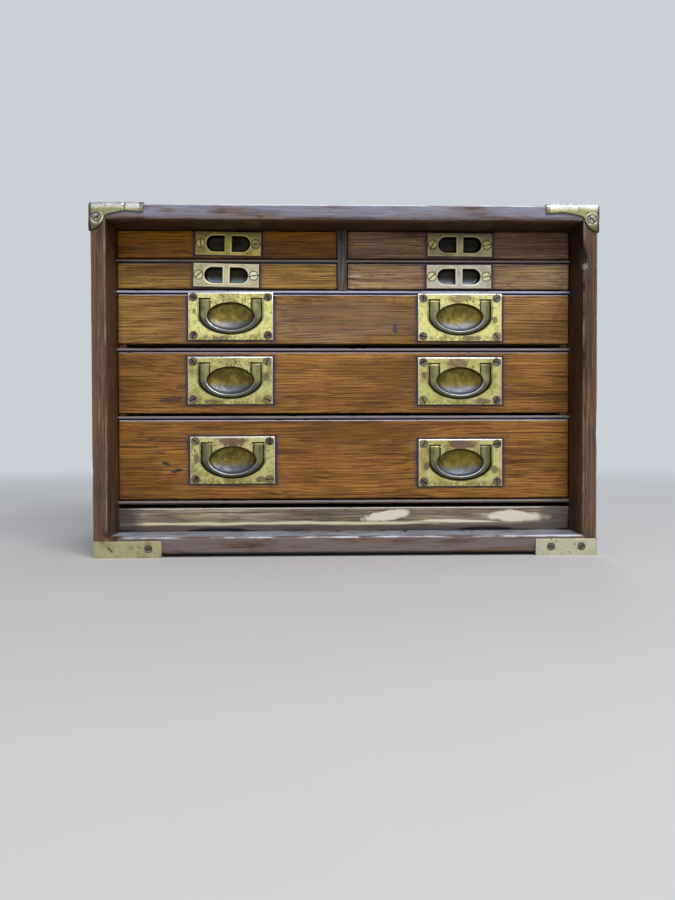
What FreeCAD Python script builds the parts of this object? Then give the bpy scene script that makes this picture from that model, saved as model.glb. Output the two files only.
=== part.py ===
import FreeCAD, Part
import os

# A small oak table cabinet, bound with brass, with four small and three full-width drawers.
# Its frame: X runs across the front with +X to the viewer's right, Y from the front to the back, Z up.
# The origin is on the floor at the middle of the footprint. Lengths are millimetres, angles degrees.

V = FreeCAD.Vector

# --- Carcase ---------------------------------------------------------------------------------------
WIDTH = 508.0  # across the outside of the wood
DEPTH = 280.0  # front to back of the wood
SIDE_T = 15.0
TOP_T = 15.0
BASE_T = 17.5
ARRIS_R = 1.8  # rounding of the worn front edges
RECESS = 40.5  # from the carcase's front edges back to the drawer fronts
BACK_T = 8.0
BACK_LAP = 7.0  # how far the back panel reaches into its rebates

BLADE_T = 4.0  # thin boards that part the drawers
BLADE_NOSE_R = 1.9  # rounding of a blade's front edge
BLADE_HOUSING = 5.0  # depth of a blade's housing in a side
BLADE_SETBACK = 0.4  # from the drawer fronts back to a blade's nose
DIVIDER_T = 10.2
DIVIDER_SHIFT = -2.7  # the divider stands left of the middle
DIVIDER_HOUSING = 4.0  # depth of its housing in the top board
DIVIDER_NOSE_R = 1.0
SMALL_BLADE_HOUSING = 3.0  # depth of a half-width blade's housing in the divider

RAIL_H = 24.8  # bare rail under the lowest blade
RAIL_T = 16.0
RAIL_SETBACK = 1.5
SLOT_H = 4.1  # open slot between the rail and the lowest blade
TONGUE_SLOT_W = 3.0  # seats in the base, in front of the rail, for a front that lifts off
TONGUE_SLOT_DEPTH = 5.0
TONGUE_SLOTS = ((-237.1, -222.5), (-166.7, -111.9), (119.5, 176.0), (228.6, 237.6))
RAIL_NOTCH_W = 4.0  # relief under the rail, behind each seat
RAIL_NOTCH_H = 1.4

# --- Drawers ---------------------------------------------------------------------------------------
HEAD_GAP = 0.5  # above a drawer front
END_GAP = 0.7  # beside a drawer front
RUNNER_GAP = 0.2  # under a drawer's sides
REAR_GAP = 3.0  # between a drawer and the back panel
FRONT_T = 16.0
SMALL_FRONT_T = 14.0
FRONT_LAP = 6.0  # wood left in front of the ends of a drawer's sides
FRONT_ARRIS_R = 0.8
DRAWER_SIDE_T = 7.0
DRAWER_BACK_T = 7.0
SIDE_DROP = 1.0  # from the front's upper edge down to the sides' upper edge
BOTTOM_T = 4.0
BOTTOM_RISE = 3.0  # from the front's lower edge up to the bottom panel
BOTTOM_GROOVE = 3.5  # depth of the bottom panel's grooves

DEEP_FRONT_H = 83.5
MIDDLE_FRONT_H = 64.3
SHALLOW_FRONT_H = 51.9
LOWER_FRONT_H = 26.6
UPPER_FRONT_H = 28.4
DEEP_FOOT_GAP = 1.4  # under each drawer front, above its blade
MIDDLE_FOOT_GAP = 2.7
SHALLOW_FOOT_GAP = 4.2
LOWER_FOOT_GAP = 1.6
UPPER_FOOT_GAP = 1.0

# --- Flush handles: a cast plate with a pan behind, and a swinging bail ------------------------------
BAIL_W = 64.8
BAIL_T = 4.0
BAIL_LEG_W = 10.7
BAIL_CURVE_W = 7.9  # width of the bail beside the finger cup, where it curves
BAIL_FOOT_W = 3.5  # width of the bail under the cup
BAIL_SPRING = 2.0  # above the plate's middle, where the bail's straight legs start to curve in
BAIL_EDGE_R = 0.6
BAIL_GAP = 0.7  # round the bail in its groove
PIVOT_RISE = 16.5  # from the plate's middle up to the bail's axis
PIVOT_R = 1.2
PIVOT_LENGTH = 1.7  # how far a spigot stands out of the bail's leg
PIVOT_PLAY = 0.05  # radial clearance of a spigot in its socket
CUP_W = BAIL_W - 2 * BAIL_CURVE_W
CUP_H = 29.2
CUP_RISE = 0.3  # from the plate's middle up to the cup's middle
CUP_DEPTH = 10.5  # from the plate's face to the cup's floor
CUP_FLOOR_R = 8.0  # rounding between the cup's wall and its floor
CUP_BEND_SHARE = 0.95  # most of the oval's tightest bend that this rounding takes
BAIL_LOW = CUP_H / 2 - CUP_RISE + BAIL_FOOT_W  # from the plate's middle down to the bail's lowest edge
PLATE_END = 12.35  # from the bail out to the plate's end
PLATE_W = BAIL_W + 2 * PLATE_END
PLATE_H = 50.4
PLATE_T = 1.6  # how far the plate stands off the drawer front
PLATE_EDGE_R = 1.0
PLATE_SCREW_X = PLATE_W / 2 - 5.75
PLATE_SCREW_Z = PLATE_H / 2 - 5.2
PAN_WALL = 2.6
PAN_FLOOR = 1.4
MORTISE_GAP = 0.3  # round a pan in its mortise

# Plate centres: across from the cabinet's middle, and above the drawer front's mid-height
SHALLOW_HANDLES = ((-120.2, 3.0), (121.8, 2.0))
MIDDLE_HANDLES = ((-120.9, 2.3), (121.8, 1.5))
DEEP_HANDLES = ((-118.9, -0.5), (122.4, -4.0))
# Angle of the first screw's slot in each plate
SHALLOW_TURNS = (15.0, 100.0)
MIDDLE_TURNS = (60.0, 150.0)
DEEP_TURNS = (35.0, 125.0)

# --- Finger pulls: one casting with two D-shaped holes and a bar between them ------------------------
PULL_W = 69.0
PULL_H = 24.8
PULL_T = 1.5
PULL_HOLE_W = 45.6
PULL_HOLE_H = 16.5
PULL_BAR_W = 7.8
PULL_BAR_T = 2.6
PULL_LIP_R = 0.7
PULL_EDGE_R = 0.8
PULL_PAN_DEPTH = 8.5  # from the plate's face to the pan's floor
PULL_PAN_WALL = 1.4
PULL_PAN_R = 4.0
PULL_SCREW_X = PULL_W / 2 - 5.7

# Pull centres: across from the cabinet's middle, and above the drawer front's mid-height
UPPER_LEFT_PULL = (-122.3, 0.7)
UPPER_RIGHT_PULL = (121.7, 0.2)
LOWER_LEFT_PULL = (-124.7, 0.6)
LOWER_RIGHT_PULL = (120.8, -0.4)
# Tilt of each pull, clockwise from the front, and the angles of its two slots
UPPER_LEFT_TURNS = (1.1, 80.0, 0.0)
UPPER_RIGHT_TURNS = (0.5, -60.0, -15.0)
LOWER_LEFT_TURNS = (1.2, -45.0, -10.0)
LOWER_RIGHT_TURNS = (0.0, -40.0, -10.0)

# --- Screws, countersunk -----------------------------------------------------------------------------
SCREW_HEAD_D = 8.3
SCREW_SHANK_D = 4.2
SCREW_L = 11.5
SCREW_SLOT_W = 1.1
SCREW_SLOT_DEPTH = 0.9
SLOT_TURN = 47.0  # from one screw's slot to the next one's

# --- Brass corners -----------------------------------------------------------------------------------
CAP_T = 2.0
CAP_EDGE_R = 2.2
CAP_ARM_L = 53.0  # arm along the top board's front edge
CAP_ARM_END = 9.0  # height of the arm's end
# Lower edge of the arm, from its end to the corner: in from the outer face and down from the top
CAP_ARM_EDGE = ((35.0, 7.4), (18.0, 10.8), (12.5, 14.0))
CAP_TOP_W = 8.0  # width of the arm on the top board
CAP_LOBE_W = 17.0  # rounded leg over the corner itself
CAP_LOBE_H = 27.0
CAP_SCREW_FRONT = (7.0, 14.0)  # in from the outer face and down from the top
CAP_SCREW_SIDE = (18.0, 6.5)  # back from the front and down from the top
CAP_SCREW_TOP = (10.0, 8.0)  # in from the outer face and back from the front
FOOT_T = 3.0  # flange that the cabinet stands on
FOOT_H = 17.0
FOOT_PROUD = 0.1  # the side flange is let into the wood, and stands this far out of it
FOOT_FRONT_LEFT = 69.0  # length along the front at the left corner
FOOT_FRONT_RIGHT = 63.3
FOOT_SIDE_L = 50.0
FOOT_FLANGE_W = 22.0
FOOT_END_R = 2.0
FOOT_SCREW_RISE = 8.8
FOOT_SCREWS_LEFT = (17.6, 55.5)
FOOT_SCREWS_RIGHT = (16.5, 47.5)
FOOT_SCREW_SIDE = 34.0
FRONT_SLOTS = (140.0, 45.0, 170.0)  # slot angles of the screws in a corner's front, side and top faces
SIDE_SLOTS = (20.0, 67.0)
TOP_SLOTS = (75.0,)

# --- Places that follow from the sizes ---------------------------------------------------------------
FRONT_Y = -DEPTH / 2
BACK_Y = DEPTH / 2
DRAWER_Y = FRONT_Y + RECESS
PANEL_Y = BACK_Y - BACK_T  # inner face of the back panel
INNER_X = WIDTH / 2 - SIDE_T
LEDGE_Z = FOOT_T + BASE_T
BLADE_BELOW_DEEP = LEDGE_Z + RAIL_H + SLOT_H


def next_blade(blade_z, foot_gap, front_h):
    """Underside of the blade, or of the top board, above a drawer that runs on the blade at blade_z."""
    return blade_z + BLADE_T + foot_gap + front_h + HEAD_GAP


BLADE_BELOW_MIDDLE = next_blade(BLADE_BELOW_DEEP, DEEP_FOOT_GAP, DEEP_FRONT_H)
BLADE_BELOW_SHALLOW = next_blade(BLADE_BELOW_MIDDLE, MIDDLE_FOOT_GAP, MIDDLE_FRONT_H)
BLADE_BELOW_LOWER = next_blade(BLADE_BELOW_SHALLOW, SHALLOW_FOOT_GAP, SHALLOW_FRONT_H)
BLADE_BELOW_UPPER = next_blade(BLADE_BELOW_LOWER, LOWER_FOOT_GAP, LOWER_FRONT_H)
TOP_UNDERSIDE = next_blade(BLADE_BELOW_UPPER, UPPER_FOOT_GAP, UPPER_FRONT_H)
TOP_Z = TOP_UNDERSIDE + TOP_T
DIVIDER_LEFT = DIVIDER_SHIFT - DIVIDER_T / 2
DIVIDER_RIGHT = DIVIDER_SHIFT + DIVIDER_T / 2
DRAWER_LENGTH = PANEL_Y - REAR_GAP - DRAWER_Y
GROOVE_DEPTH = BAIL_T + BAIL_GAP
EXTRA = 5.0  # how far cutting tools run past what they cut


# --- Helpers -----------------------------------------------------------------------------------------
def block(x, y, z):
    """Box between pairs of limits."""
    return Part.makeBox(x[1] - x[0], y[1] - y[0], z[1] - z[0], V(x[0], y[0], z[0]))


def rod(radius, x, y, z):
    """Cylinder along X between the two limits in x."""
    return Part.makeCylinder(radius, x[1] - x[0], V(x[0], y, z), V(1, 0, 0))


def oval_prism(half_w, half_h, y, middle_z=0.0):
    """Elliptic cylinder along Y between the two limits in y."""
    ellipse = Part.Ellipse(V(0, 0, 0), max(half_w, half_h), min(half_w, half_h))
    solid = Part.Face(Part.Wire(ellipse.toShape())).extrude(V(0, 0, y[1] - y[0]))
    if half_h > half_w:
        solid.rotate(V(0, 0, 0), V(0, 0, 1), 90)
    solid.rotate(V(0, 0, 0), V(1, 0, 0), -90)
    solid.translate(V(0, y[0], middle_z))
    return solid


def u_prism(half_w, top, spring, low, y):
    """Straight sides from top down to spring, closed below by half an ellipse that reaches low."""
    upper = block((-half_w, half_w), y, (spring, top))
    oval = oval_prism(half_w, spring - low, y, spring)
    below = block((-half_w - EXTRA, half_w + EXTRA), (y[0] - EXTRA, y[1] + EXTRA), (low - EXTRA, spring))
    return upper.fuse(oval.common(below)).removeSplitter()


def stadium(half_w, half_h, y):
    """Slot shape with half-round ends, along X."""
    middle = half_w - half_h
    solid = block((-middle, middle), y, (-half_h, half_h))
    for side in (-1, 1):
        end = Part.makeCylinder(half_h, y[1] - y[0], V(side * middle, y[0], 0), V(0, 1, 0))
        solid = solid.fuse(end)
    return solid.removeSplitter()


def edges_where(shape, test):
    return [edge for edge in shape.Edges if all(test(vertex.Point) for vertex in edge.Vertexes)]


def near(value, target):
    return abs(value - target) < 1e-6


def long_front_edges(shape, y):
    """The two edges along a board on its face at y."""
    face_edges = edges_where(shape, lambda point: near(point.y, y))
    return sorted(face_edges, key=lambda edge: edge.Length)[-2:]


def placed(shape, x, z, tilt=0.0):
    """A fitting made at the origin, against the drawer fronts' plane at x and z."""
    moved = shape.copy()
    moved.rotate(V(0, 0, 0), V(0, 1, 0), tilt)
    moved.translate(V(x, DRAWER_Y, z))
    return moved


def export(name, *solids):
    shape = solids[0] if len(solids) == 1 else Part.makeCompound(solids)
    shape.exportStep(os.path.join("parts", name + ".step"))


# --- Screws ------------------------------------------------------------------------------------------
def screw_blank(face_y):
    """Countersunk screw without its slot, head at face_y, pointing along +Y."""
    head_r, shank_r = SCREW_HEAD_D / 2, SCREW_SHANK_D / 2
    head_h = head_r - shank_r
    point_h = shank_r
    head = Part.makeCone(head_r, shank_r, head_h, V(0, face_y, 0), V(0, 1, 0))
    shank_l = SCREW_L - head_h - point_h
    shank = Part.makeCylinder(shank_r, shank_l, V(0, face_y + head_h, 0), V(0, 1, 0))
    point = Part.makeCone(shank_r, 0, point_h, V(0, face_y + head_h + shank_l, 0), V(0, 1, 0))
    return head.fuse([shank, point]).removeSplitter()


def slotted(blank, face_y, turn):
    """The screw with a slot across its head, turned about its own axis."""
    slot = block(
        (-SCREW_HEAD_D, SCREW_HEAD_D),
        (face_y - EXTRA, face_y + SCREW_SLOT_DEPTH),
        (-SCREW_SLOT_W / 2, SCREW_SLOT_W / 2),
    )
    slot.rotate(V(0, 0, 0), V(0, 1, 0), turn)
    return blank.cut(slot)


def screws_at(places, face_y, turns):
    """(blanks, screws) at the places, given as (x, z), each with its slot at its own angle."""
    blanks, screws = [], []
    for (x, z), turn in zip(places, turns):
        blank = screw_blank(face_y)
        screw = slotted(blank, face_y, turn)
        for solid in (blank, screw):
            solid.translate(V(x, 0, z))
        blanks.append(blank)
        screws.append(screw)
    return blanks, screws


# --- Flush handle, made about the plate's middle with y = 0 on the drawer front -----------------------
def handle_plate(blanks):
    """Cast plate with the bail's groove, the finger cup, and the pan that holds them."""
    face = -PLATE_T
    plate = block((-PLATE_W / 2, PLATE_W / 2), (face, 0), (-PLATE_H / 2, PLATE_H / 2))
    plate = plate.makeFillet(PLATE_EDGE_R, edges_where(plate, lambda point: near(point.y, face)))
    groove_w = BAIL_W / 2 + BAIL_GAP
    groove_top = PIVOT_RISE + BAIL_T / 2 + BAIL_GAP
    groove_low = -BAIL_LOW - BAIL_GAP
    pan_y = (face + PLATE_EDGE_R, face + CUP_DEPTH + PAN_FLOOR)
    pan = u_prism(groove_w + PAN_WALL, groove_top + PAN_WALL, BAIL_SPRING, groove_low - PAN_WALL, pan_y)
    groove = u_prism(groove_w, groove_top, BAIL_SPRING, groove_low, (face - EXTRA, face + GROOVE_DEPTH))
    island_w = BAIL_W / 2 - BAIL_LEG_W - BAIL_GAP
    island = block((-island_w, island_w), (face - 2 * EXTRA, pan_y[1]), (CUP_RISE, groove_top + EXTRA))
    casting = plate.fuse(pan).cut(groove.cut(island))
    casting = casting.cut(cup_space(face))
    socket_w = BAIL_W / 2 + PIVOT_LENGTH + BAIL_GAP
    socket_in = BAIL_W / 2 - BAIL_LEG_W - PIVOT_LENGTH - BAIL_GAP
    for limits in ((-socket_w, -socket_in), (socket_in, socket_w)):
        casting = casting.cut(rod(PIVOT_R + PIVOT_PLAY, limits, face + BAIL_T / 2, PIVOT_RISE))
    return casting.cut(blanks).removeSplitter()


def cup_space(face):
    """The finger cup: an oval with a rounded floor, whose rounding fits the oval's tightest bend."""
    cup = oval_prism(CUP_W / 2, CUP_H / 2, (face - EXTRA, face + CUP_DEPTH), CUP_RISE)
    narrow, wide = sorted((CUP_W / 2, CUP_H / 2))
    floor_r = min(CUP_FLOOR_R, CUP_BEND_SHARE * narrow ** 2 / wide)
    return cup.makeFillet(floor_r, edges_where(cup, lambda point: near(point.y, face + CUP_DEPTH)))


def pan_mortise():
    """Space for a handle's pan, cut into the drawer front."""
    groove_w = BAIL_W / 2 + BAIL_GAP
    groove_top = PIVOT_RISE + BAIL_T / 2 + BAIL_GAP
    room = PAN_WALL + MORTISE_GAP
    depth = CUP_DEPTH + PAN_FLOOR - PLATE_T + MORTISE_GAP
    low = -BAIL_LOW - BAIL_GAP - room
    return u_prism(groove_w + room, groove_top + room, BAIL_SPRING, low, (-EXTRA, depth))


def bail():
    """Swinging bail, hanging flush in its groove, with a spigot on each side of each leg."""
    face = -PLATE_T
    half_w = BAIL_W / 2
    leg_in = half_w - BAIL_LEG_W
    loop = u_prism(half_w, PIVOT_RISE, BAIL_SPRING, -BAIL_LOW, (face, face + BAIL_T))
    between = block((-leg_in, leg_in), (face - EXTRA, face + BAIL_T + EXTRA), (CUP_RISE, PIVOT_RISE + EXTRA))
    hole = oval_prism(CUP_W / 2, CUP_H / 2, (face - EXTRA, face + BAIL_T + EXTRA), CUP_RISE)
    loop = loop.cut([between, hole]).removeSplitter()
    curved = [edge for edge in loop.Edges if abs(edge.BoundBox.YLength) < 1e-6 and len(edge.Vertexes) == 2]
    outer = [edge for edge in curved if near(edge.BoundBox.ZMin, -BAIL_LOW)]
    loop = loop.makeFillet(BAIL_EDGE_R, outer)
    for side in (-1, 1):
        leg = sorted((side * leg_in, side * half_w))
        pin = (leg[0] - PIVOT_LENGTH, leg[1] + PIVOT_LENGTH)
        loop = loop.fuse([
            rod(BAIL_T / 2, leg, face + BAIL_T / 2, PIVOT_RISE),
            rod(PIVOT_R, pin, face + BAIL_T / 2, PIVOT_RISE),
        ])
    return loop.removeSplitter()


# --- Finger pull, made about its middle with y = 0 on the drawer front --------------------------------
def finger_pull(blanks):
    """Plate with a slot-shaped hole, crossed by an upright bar, and the pan behind it."""
    face = -PULL_T
    half_w, half_h = PULL_HOLE_W / 2, PULL_HOLE_H / 2
    plate = block((-PULL_W / 2, PULL_W / 2), (face, 0), (-PULL_H / 2, PULL_H / 2))
    plate = plate.makeFillet(PULL_EDGE_R, edges_where(plate, lambda point: near(point.y, face)))
    pan_back = face + PULL_PAN_DEPTH + PULL_PAN_WALL
    pan = stadium(half_w + PULL_PAN_WALL, half_h + PULL_PAN_WALL, (face + PULL_EDGE_R, pan_back))
    hollow = stadium(half_w, half_h, (face - EXTRA, face + PULL_PAN_DEPTH))
    floor_edges = edges_where(hollow, lambda point: near(point.y, face + PULL_PAN_DEPTH))
    hollow = hollow.makeFillet(PULL_PAN_R, floor_edges)
    bar = block((-PULL_BAR_W / 2, PULL_BAR_W / 2), (face - 2 * EXTRA, face + PULL_BAR_T), (-PULL_H, PULL_H))
    casting = plate.fuse(pan).cut(hollow.cut(bar)).cut(blanks).removeSplitter()
    reach_x, reach_z = half_w + PULL_LIP_R, half_h + PULL_LIP_R
    lip = edges_where(casting, lambda p: near(p.y, face) and abs(p.x) < reach_x and abs(p.z) < reach_z)
    return casting.makeFillet(PULL_LIP_R, lip)


def pull_mortise():
    room = PULL_PAN_WALL + MORTISE_GAP
    depth = PULL_PAN_DEPTH + PULL_PAN_WALL - PULL_T + MORTISE_GAP
    return stadium(PULL_HOLE_W / 2 + room, PULL_HOLE_H / 2 + room, (-EXTRA, depth))


# --- Drawers -----------------------------------------------------------------------------------------
class Drawer:
    """Wooden pieces of one drawer, between two uprights and above a blade."""

    def __init__(self, name, left, right, blade_z, foot_gap, front_h, front_t):
        self.name = name
        self.left = left + END_GAP
        self.right = right - END_GAP
        self.runner_z = blade_z + BLADE_T + RUNNER_GAP
        self.low = blade_z + BLADE_T + foot_gap
        self.high = self.low + front_h
        self.middle = (self.low + self.high) / 2
        self.front_t = front_t

    def pieces(self):
        """(front, sides and back, bottom), each cut to take its neighbours."""
        back_y = DRAWER_Y + DRAWER_LENGTH
        side_y = (DRAWER_Y + FRONT_LAP, back_y)
        side_z = (self.runner_z, self.high - SIDE_DROP)
        bottom_z = self.low + BOTTOM_RISE
        inner = (self.left + DRAWER_SIDE_T, self.right - DRAWER_SIDE_T)
        bottom = block(
            (inner[0] - BOTTOM_GROOVE, inner[1] + BOTTOM_GROOVE),
            (DRAWER_Y + self.front_t - BOTTOM_GROOVE, back_y),
            (bottom_z, bottom_z + BOTTOM_T),
        )
        sides = [
            block((self.left, inner[0]), side_y, side_z).cut(bottom),
            block((inner[1], self.right), side_y, side_z).cut(bottom),
        ]
        back = block(inner, (back_y - DRAWER_BACK_T, back_y), (bottom_z + BOTTOM_T, side_z[1]))
        front = block((self.left, self.right), (DRAWER_Y, DRAWER_Y + self.front_t), (self.low, self.high))
        face_edges = edges_where(front, lambda point: near(point.y, DRAWER_Y))
        front = front.makeFillet(FRONT_ARRIS_R, face_edges).cut(sides + [bottom])
        return front, sides + [back], bottom

    def export(self, fittings, mortises, blanks, screws):
        """Writes the wooden pieces, with the fittings' mortises and screw holes, and the screws."""
        front, case, bottom = self.pieces()
        export(self.name + "_drawer_front", front.cut(mortises + blanks))
        export(self.name + "_drawer_case", *case)
        export(self.name + "_drawer_bottom", bottom)
        export(self.name + "_drawer_screws", *screws)
        for name, solids in fittings.items():
            export(name, *solids)


def large_drawer(name, blade_z, foot_gap, front_h, handles, first_slots):
    """Full-width drawer with a flush handle towards each end."""
    drawer = Drawer(name, -INNER_X, INNER_X, blade_z, foot_gap, front_h, FRONT_T)
    corners = [(x, z) for z in (PLATE_SCREW_Z, -PLATE_SCREW_Z) for x in (-PLATE_SCREW_X, PLATE_SCREW_X)]
    plates, mortises, blanks, screws, fittings = [], [], [], [], {}
    for side, (x, rise), first_slot in zip(("left", "right"), handles, first_slots):
        z = drawer.middle + rise
        turns = [first_slot + number * SLOT_TURN for number in range(len(corners))]
        own_blanks, own_screws = screws_at(corners, -PLATE_T, turns)
        plates.append(placed(handle_plate(own_blanks), x, z))
        mortises.append(placed(pan_mortise(), x, z))
        blanks += [placed(blank, x, z) for blank in own_blanks]
        screws += [placed(screw, x, z) for screw in own_screws]
        fittings[name + "_bail_" + side] = [placed(bail(), x, z)]
    fittings[name + "_handle_plates"] = plates
    drawer.export(fittings, mortises, blanks, screws)


def small_drawer(name, left, right, blade_z, foot_gap, front_h, pull, turns):
    """Half-width drawer with one finger pull."""
    drawer = Drawer(name, left, right, blade_z, foot_gap, front_h, SMALL_FRONT_T)
    x, rise = pull
    tilt, *slots = turns
    z = drawer.middle + rise
    own_blanks, own_screws = screws_at([(-PULL_SCREW_X, 0), (PULL_SCREW_X, 0)], -PULL_T, slots)
    casting = placed(finger_pull(own_blanks), x, z, tilt)
    mortise = placed(pull_mortise(), x, z, tilt)
    blanks = [placed(blank, x, z, tilt) for blank in own_blanks]
    screws = [placed(screw, x, z, tilt) for screw in own_screws]
    drawer.export({name + "_finger_pull": [casting]}, [mortise], blanks, screws)


# --- Carcase -----------------------------------------------------------------------------------------
def carcase_board(corners):
    """Board with mitred ends: its outline in X and Z, run from front to back, front edges rounded."""
    points = [V(x, FRONT_Y, z) for x, z in corners]
    board = Part.Face(Part.makePolygon(points + points[:1])).extrude(V(0, DEPTH, 0))
    return board.makeFillet(ARRIS_R, long_front_edges(board, FRONT_Y))


def carcase_boards():
    """Top, base, left and right boards, before anything is cut into them."""
    outer, inner = WIDTH / 2, INNER_X
    top = carcase_board([(-outer, TOP_Z), (outer, TOP_Z), (inner, TOP_UNDERSIDE), (-inner, TOP_UNDERSIDE)])
    base = carcase_board([(-outer, FOOT_T), (outer, FOOT_T), (inner, LEDGE_Z), (-inner, LEDGE_Z)])
    upright = [(outer, FOOT_T), (outer, TOP_Z), (inner, TOP_UNDERSIDE), (inner, LEDGE_Z)]
    left = carcase_board([(-x, z) for x, z in upright])
    right = carcase_board(upright)
    return top, base, left, right


def blade(left, right, z):
    """Thin board from the drawer fronts to the back panel, with a round nose."""
    nose_y = DRAWER_Y + BLADE_SETBACK
    board = block((left, right), (nose_y, PANEL_Y), (z, z + BLADE_T))
    return board.makeFillet(BLADE_NOSE_R, long_front_edges(board, nose_y))


def divider_board():
    board = block(
        (DIVIDER_LEFT, DIVIDER_RIGHT),
        (DRAWER_Y, PANEL_Y),
        (BLADE_BELOW_LOWER + BLADE_T, TOP_UNDERSIDE + DIVIDER_HOUSING),
    )
    return board.makeFillet(DIVIDER_NOSE_R, long_front_edges(board, DRAWER_Y))


def tongue_seats():
    """Seats for the tongues of a front that lifts off: slots in the base, and notches under the rail."""
    rail_y = DRAWER_Y + RAIL_SETBACK
    slot_y, slot_z = (rail_y - TONGUE_SLOT_W, rail_y), (LEDGE_Z - TONGUE_SLOT_DEPTH, LEDGE_Z + EXTRA)
    notch_y, notch_z = (rail_y - EXTRA, rail_y + RAIL_NOTCH_W), (LEDGE_Z - EXTRA, LEDGE_Z + RAIL_NOTCH_H)
    slots = [block(limits, slot_y, slot_z) for limits in TONGUE_SLOTS]
    notches = [block(limits, notch_y, notch_z) for limits in TONGUE_SLOTS]
    return slots, notches


def corner_cap():
    """Cap for the upper front left corner: an arm along the top board, and a rounded leg on each face."""
    x, y, z = -WIDTH / 2, FRONT_Y, TOP_Z
    outer = block((x - CAP_T, x + CAP_ARM_L), (y - CAP_T, y + CAP_LOBE_H), (z - CAP_LOBE_H, z + CAP_T))
    corner = V(x - CAP_T, y - CAP_T, z + CAP_T)
    meeting = [edge for edge in outer.Edges if any(v.Point.isEqual(corner, 1e-6) for v in edge.Vertexes)]
    outer = outer.makeFillet(CAP_EDGE_R, meeting)
    arm = (x - CAP_T, x + CAP_ARM_L)
    edge_x, edge_y, edge_z = (x - CAP_T, x), (y - CAP_T, y), (z, z + CAP_T)
    drop, run = (z - CAP_LOBE_H, z + CAP_T), (y - CAP_T, y + CAP_LOBE_H)
    low = [(CAP_ARM_L, CAP_ARM_END), *CAP_ARM_EDGE, (-CAP_T, CAP_ARM_EDGE[-1][1])]
    outline = [(arm[0], z + CAP_T), (arm[1], z + CAP_T)] + [(x + along, z - down) for along, down in low]
    corners = [V(px, y - CAP_T, pz) for px, pz in outline]
    front = Part.Face(Part.makePolygon(corners + corners[:1])).extrude(V(0, CAP_T, 0))
    front_leg = lobe(CAP_LOBE_W, CAP_LOBE_H, CAP_T)
    front_leg.translate(V(x, y, z))
    over = block(arm, (y - CAP_T, y + CAP_TOP_W), edge_z)
    over_leg = lobe(CAP_LOBE_W, CAP_LOBE_H, CAP_T)
    over_leg.rotate(V(0, 0, 0), V(1, 0, 0), 90)
    over_leg.translate(V(x, y, z + CAP_T))
    side_leg = lobe(CAP_LOBE_H, CAP_LOBE_H, CAP_T)
    side_leg.rotate(V(0, 0, 0), V(0, 0, 1), 90)
    side_leg.translate(V(x - CAP_T, y, z))
    strips = [block(edge_x, edge_y, drop), block(edge_x, run, edge_z)]
    wanted = front.fuse([front_leg, over, over_leg, side_leg] + strips)
    return outer.common(wanted).removeSplitter()


def lobe(half_w, half_h, thickness):
    """Quarter of an oval: +X and -Z from the origin, y from -thickness to 0."""
    oval = oval_prism(half_w, half_h, (-thickness, 0))
    return oval.common(block((0, half_w + EXTRA), (-thickness - EXTRA, EXTRA), (-half_h - EXTRA, 0)))


def foot_cap(front_l):
    """Cap for the lower front left corner: two upright flanges round the corner and one to stand on."""
    x, y = -WIDTH / 2, FRONT_Y
    outer = x - FOOT_PROUD
    front = block((outer, x + front_l), (y - CAP_T, y), (0, FOOT_H))
    ends = edges_where(front, lambda point: near(point.x, x + front_l))
    front = front.makeFillet(FOOT_END_R, [edge for edge in ends if edge.BoundBox.YLength > CAP_T / 2])
    side = block((outer, outer + CAP_T), (y - CAP_T, y + FOOT_SIDE_L), (0, FOOT_H))
    ends = edges_where(side, lambda point: near(point.y, y + FOOT_SIDE_L))
    side = side.makeFillet(FOOT_END_R, [edge for edge in ends if edge.BoundBox.XLength > CAP_T / 2])
    floor = [
        block((outer, x + front_l - FOOT_END_R), (y - CAP_T, y + FOOT_FLANGE_W), (0, FOOT_T)),
        block((outer, x + FOOT_FLANGE_W), (y - CAP_T, y + FOOT_SIDE_L - FOOT_END_R), (0, FOOT_T)),
    ]
    cap = front.fuse([side] + floor).removeSplitter()
    bend = edges_where(cap, lambda point: near(point.x, outer) and near(point.y, y - CAP_T))
    return cap.makeFillet(CAP_EDGE_R, bend)


def corner_screws(foot_screws):
    """(blanks, screws) of the front left corner: one in each face of the cap, and the foot cap's three."""
    x, y, z = -WIDTH / 2, FRONT_Y, TOP_Z
    front_places = [(x + CAP_SCREW_FRONT[0], z - CAP_SCREW_FRONT[1])]
    front_places += [(x + along, FOOT_SCREW_RISE) for along in foot_screws]
    blanks, screws = screws_at(front_places, y - CAP_T, FRONT_SLOTS)
    side_places = [(-y - CAP_SCREW_SIDE[0], z - CAP_SCREW_SIDE[1]), (-y - FOOT_SCREW_SIDE, FOOT_SCREW_RISE)]
    for place, face_x, turn in zip(side_places, (x - CAP_T, x - FOOT_PROUD), SIDE_SLOTS):
        for group, (solid,) in zip((blanks, screws), screws_at([place], face_x, [turn])):
            solid.rotate(V(0, 0, 0), V(0, 0, 1), -90)
            group.append(solid)
    top_places = [(x + CAP_SCREW_TOP[0], y + CAP_SCREW_TOP[1])]
    for group, turned in zip((blanks, screws), screws_at(top_places, 0, TOP_SLOTS)):
        for solid in turned:
            solid.rotate(V(0, 0, 0), V(1, 0, 0), -90)
            solid.translate(V(0, 0, z + CAP_T))
            group.append(solid)
    return blanks, screws


def mirrored(shape, across, back):
    """The shape of the front left corner, taken to another corner."""
    if across:
        shape = shape.mirror(V(0, 0, 0), V(1, 0, 0))
    if back:
        shape = shape.mirror(V(0, 0, 0), V(0, 1, 0))
    return shape


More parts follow.
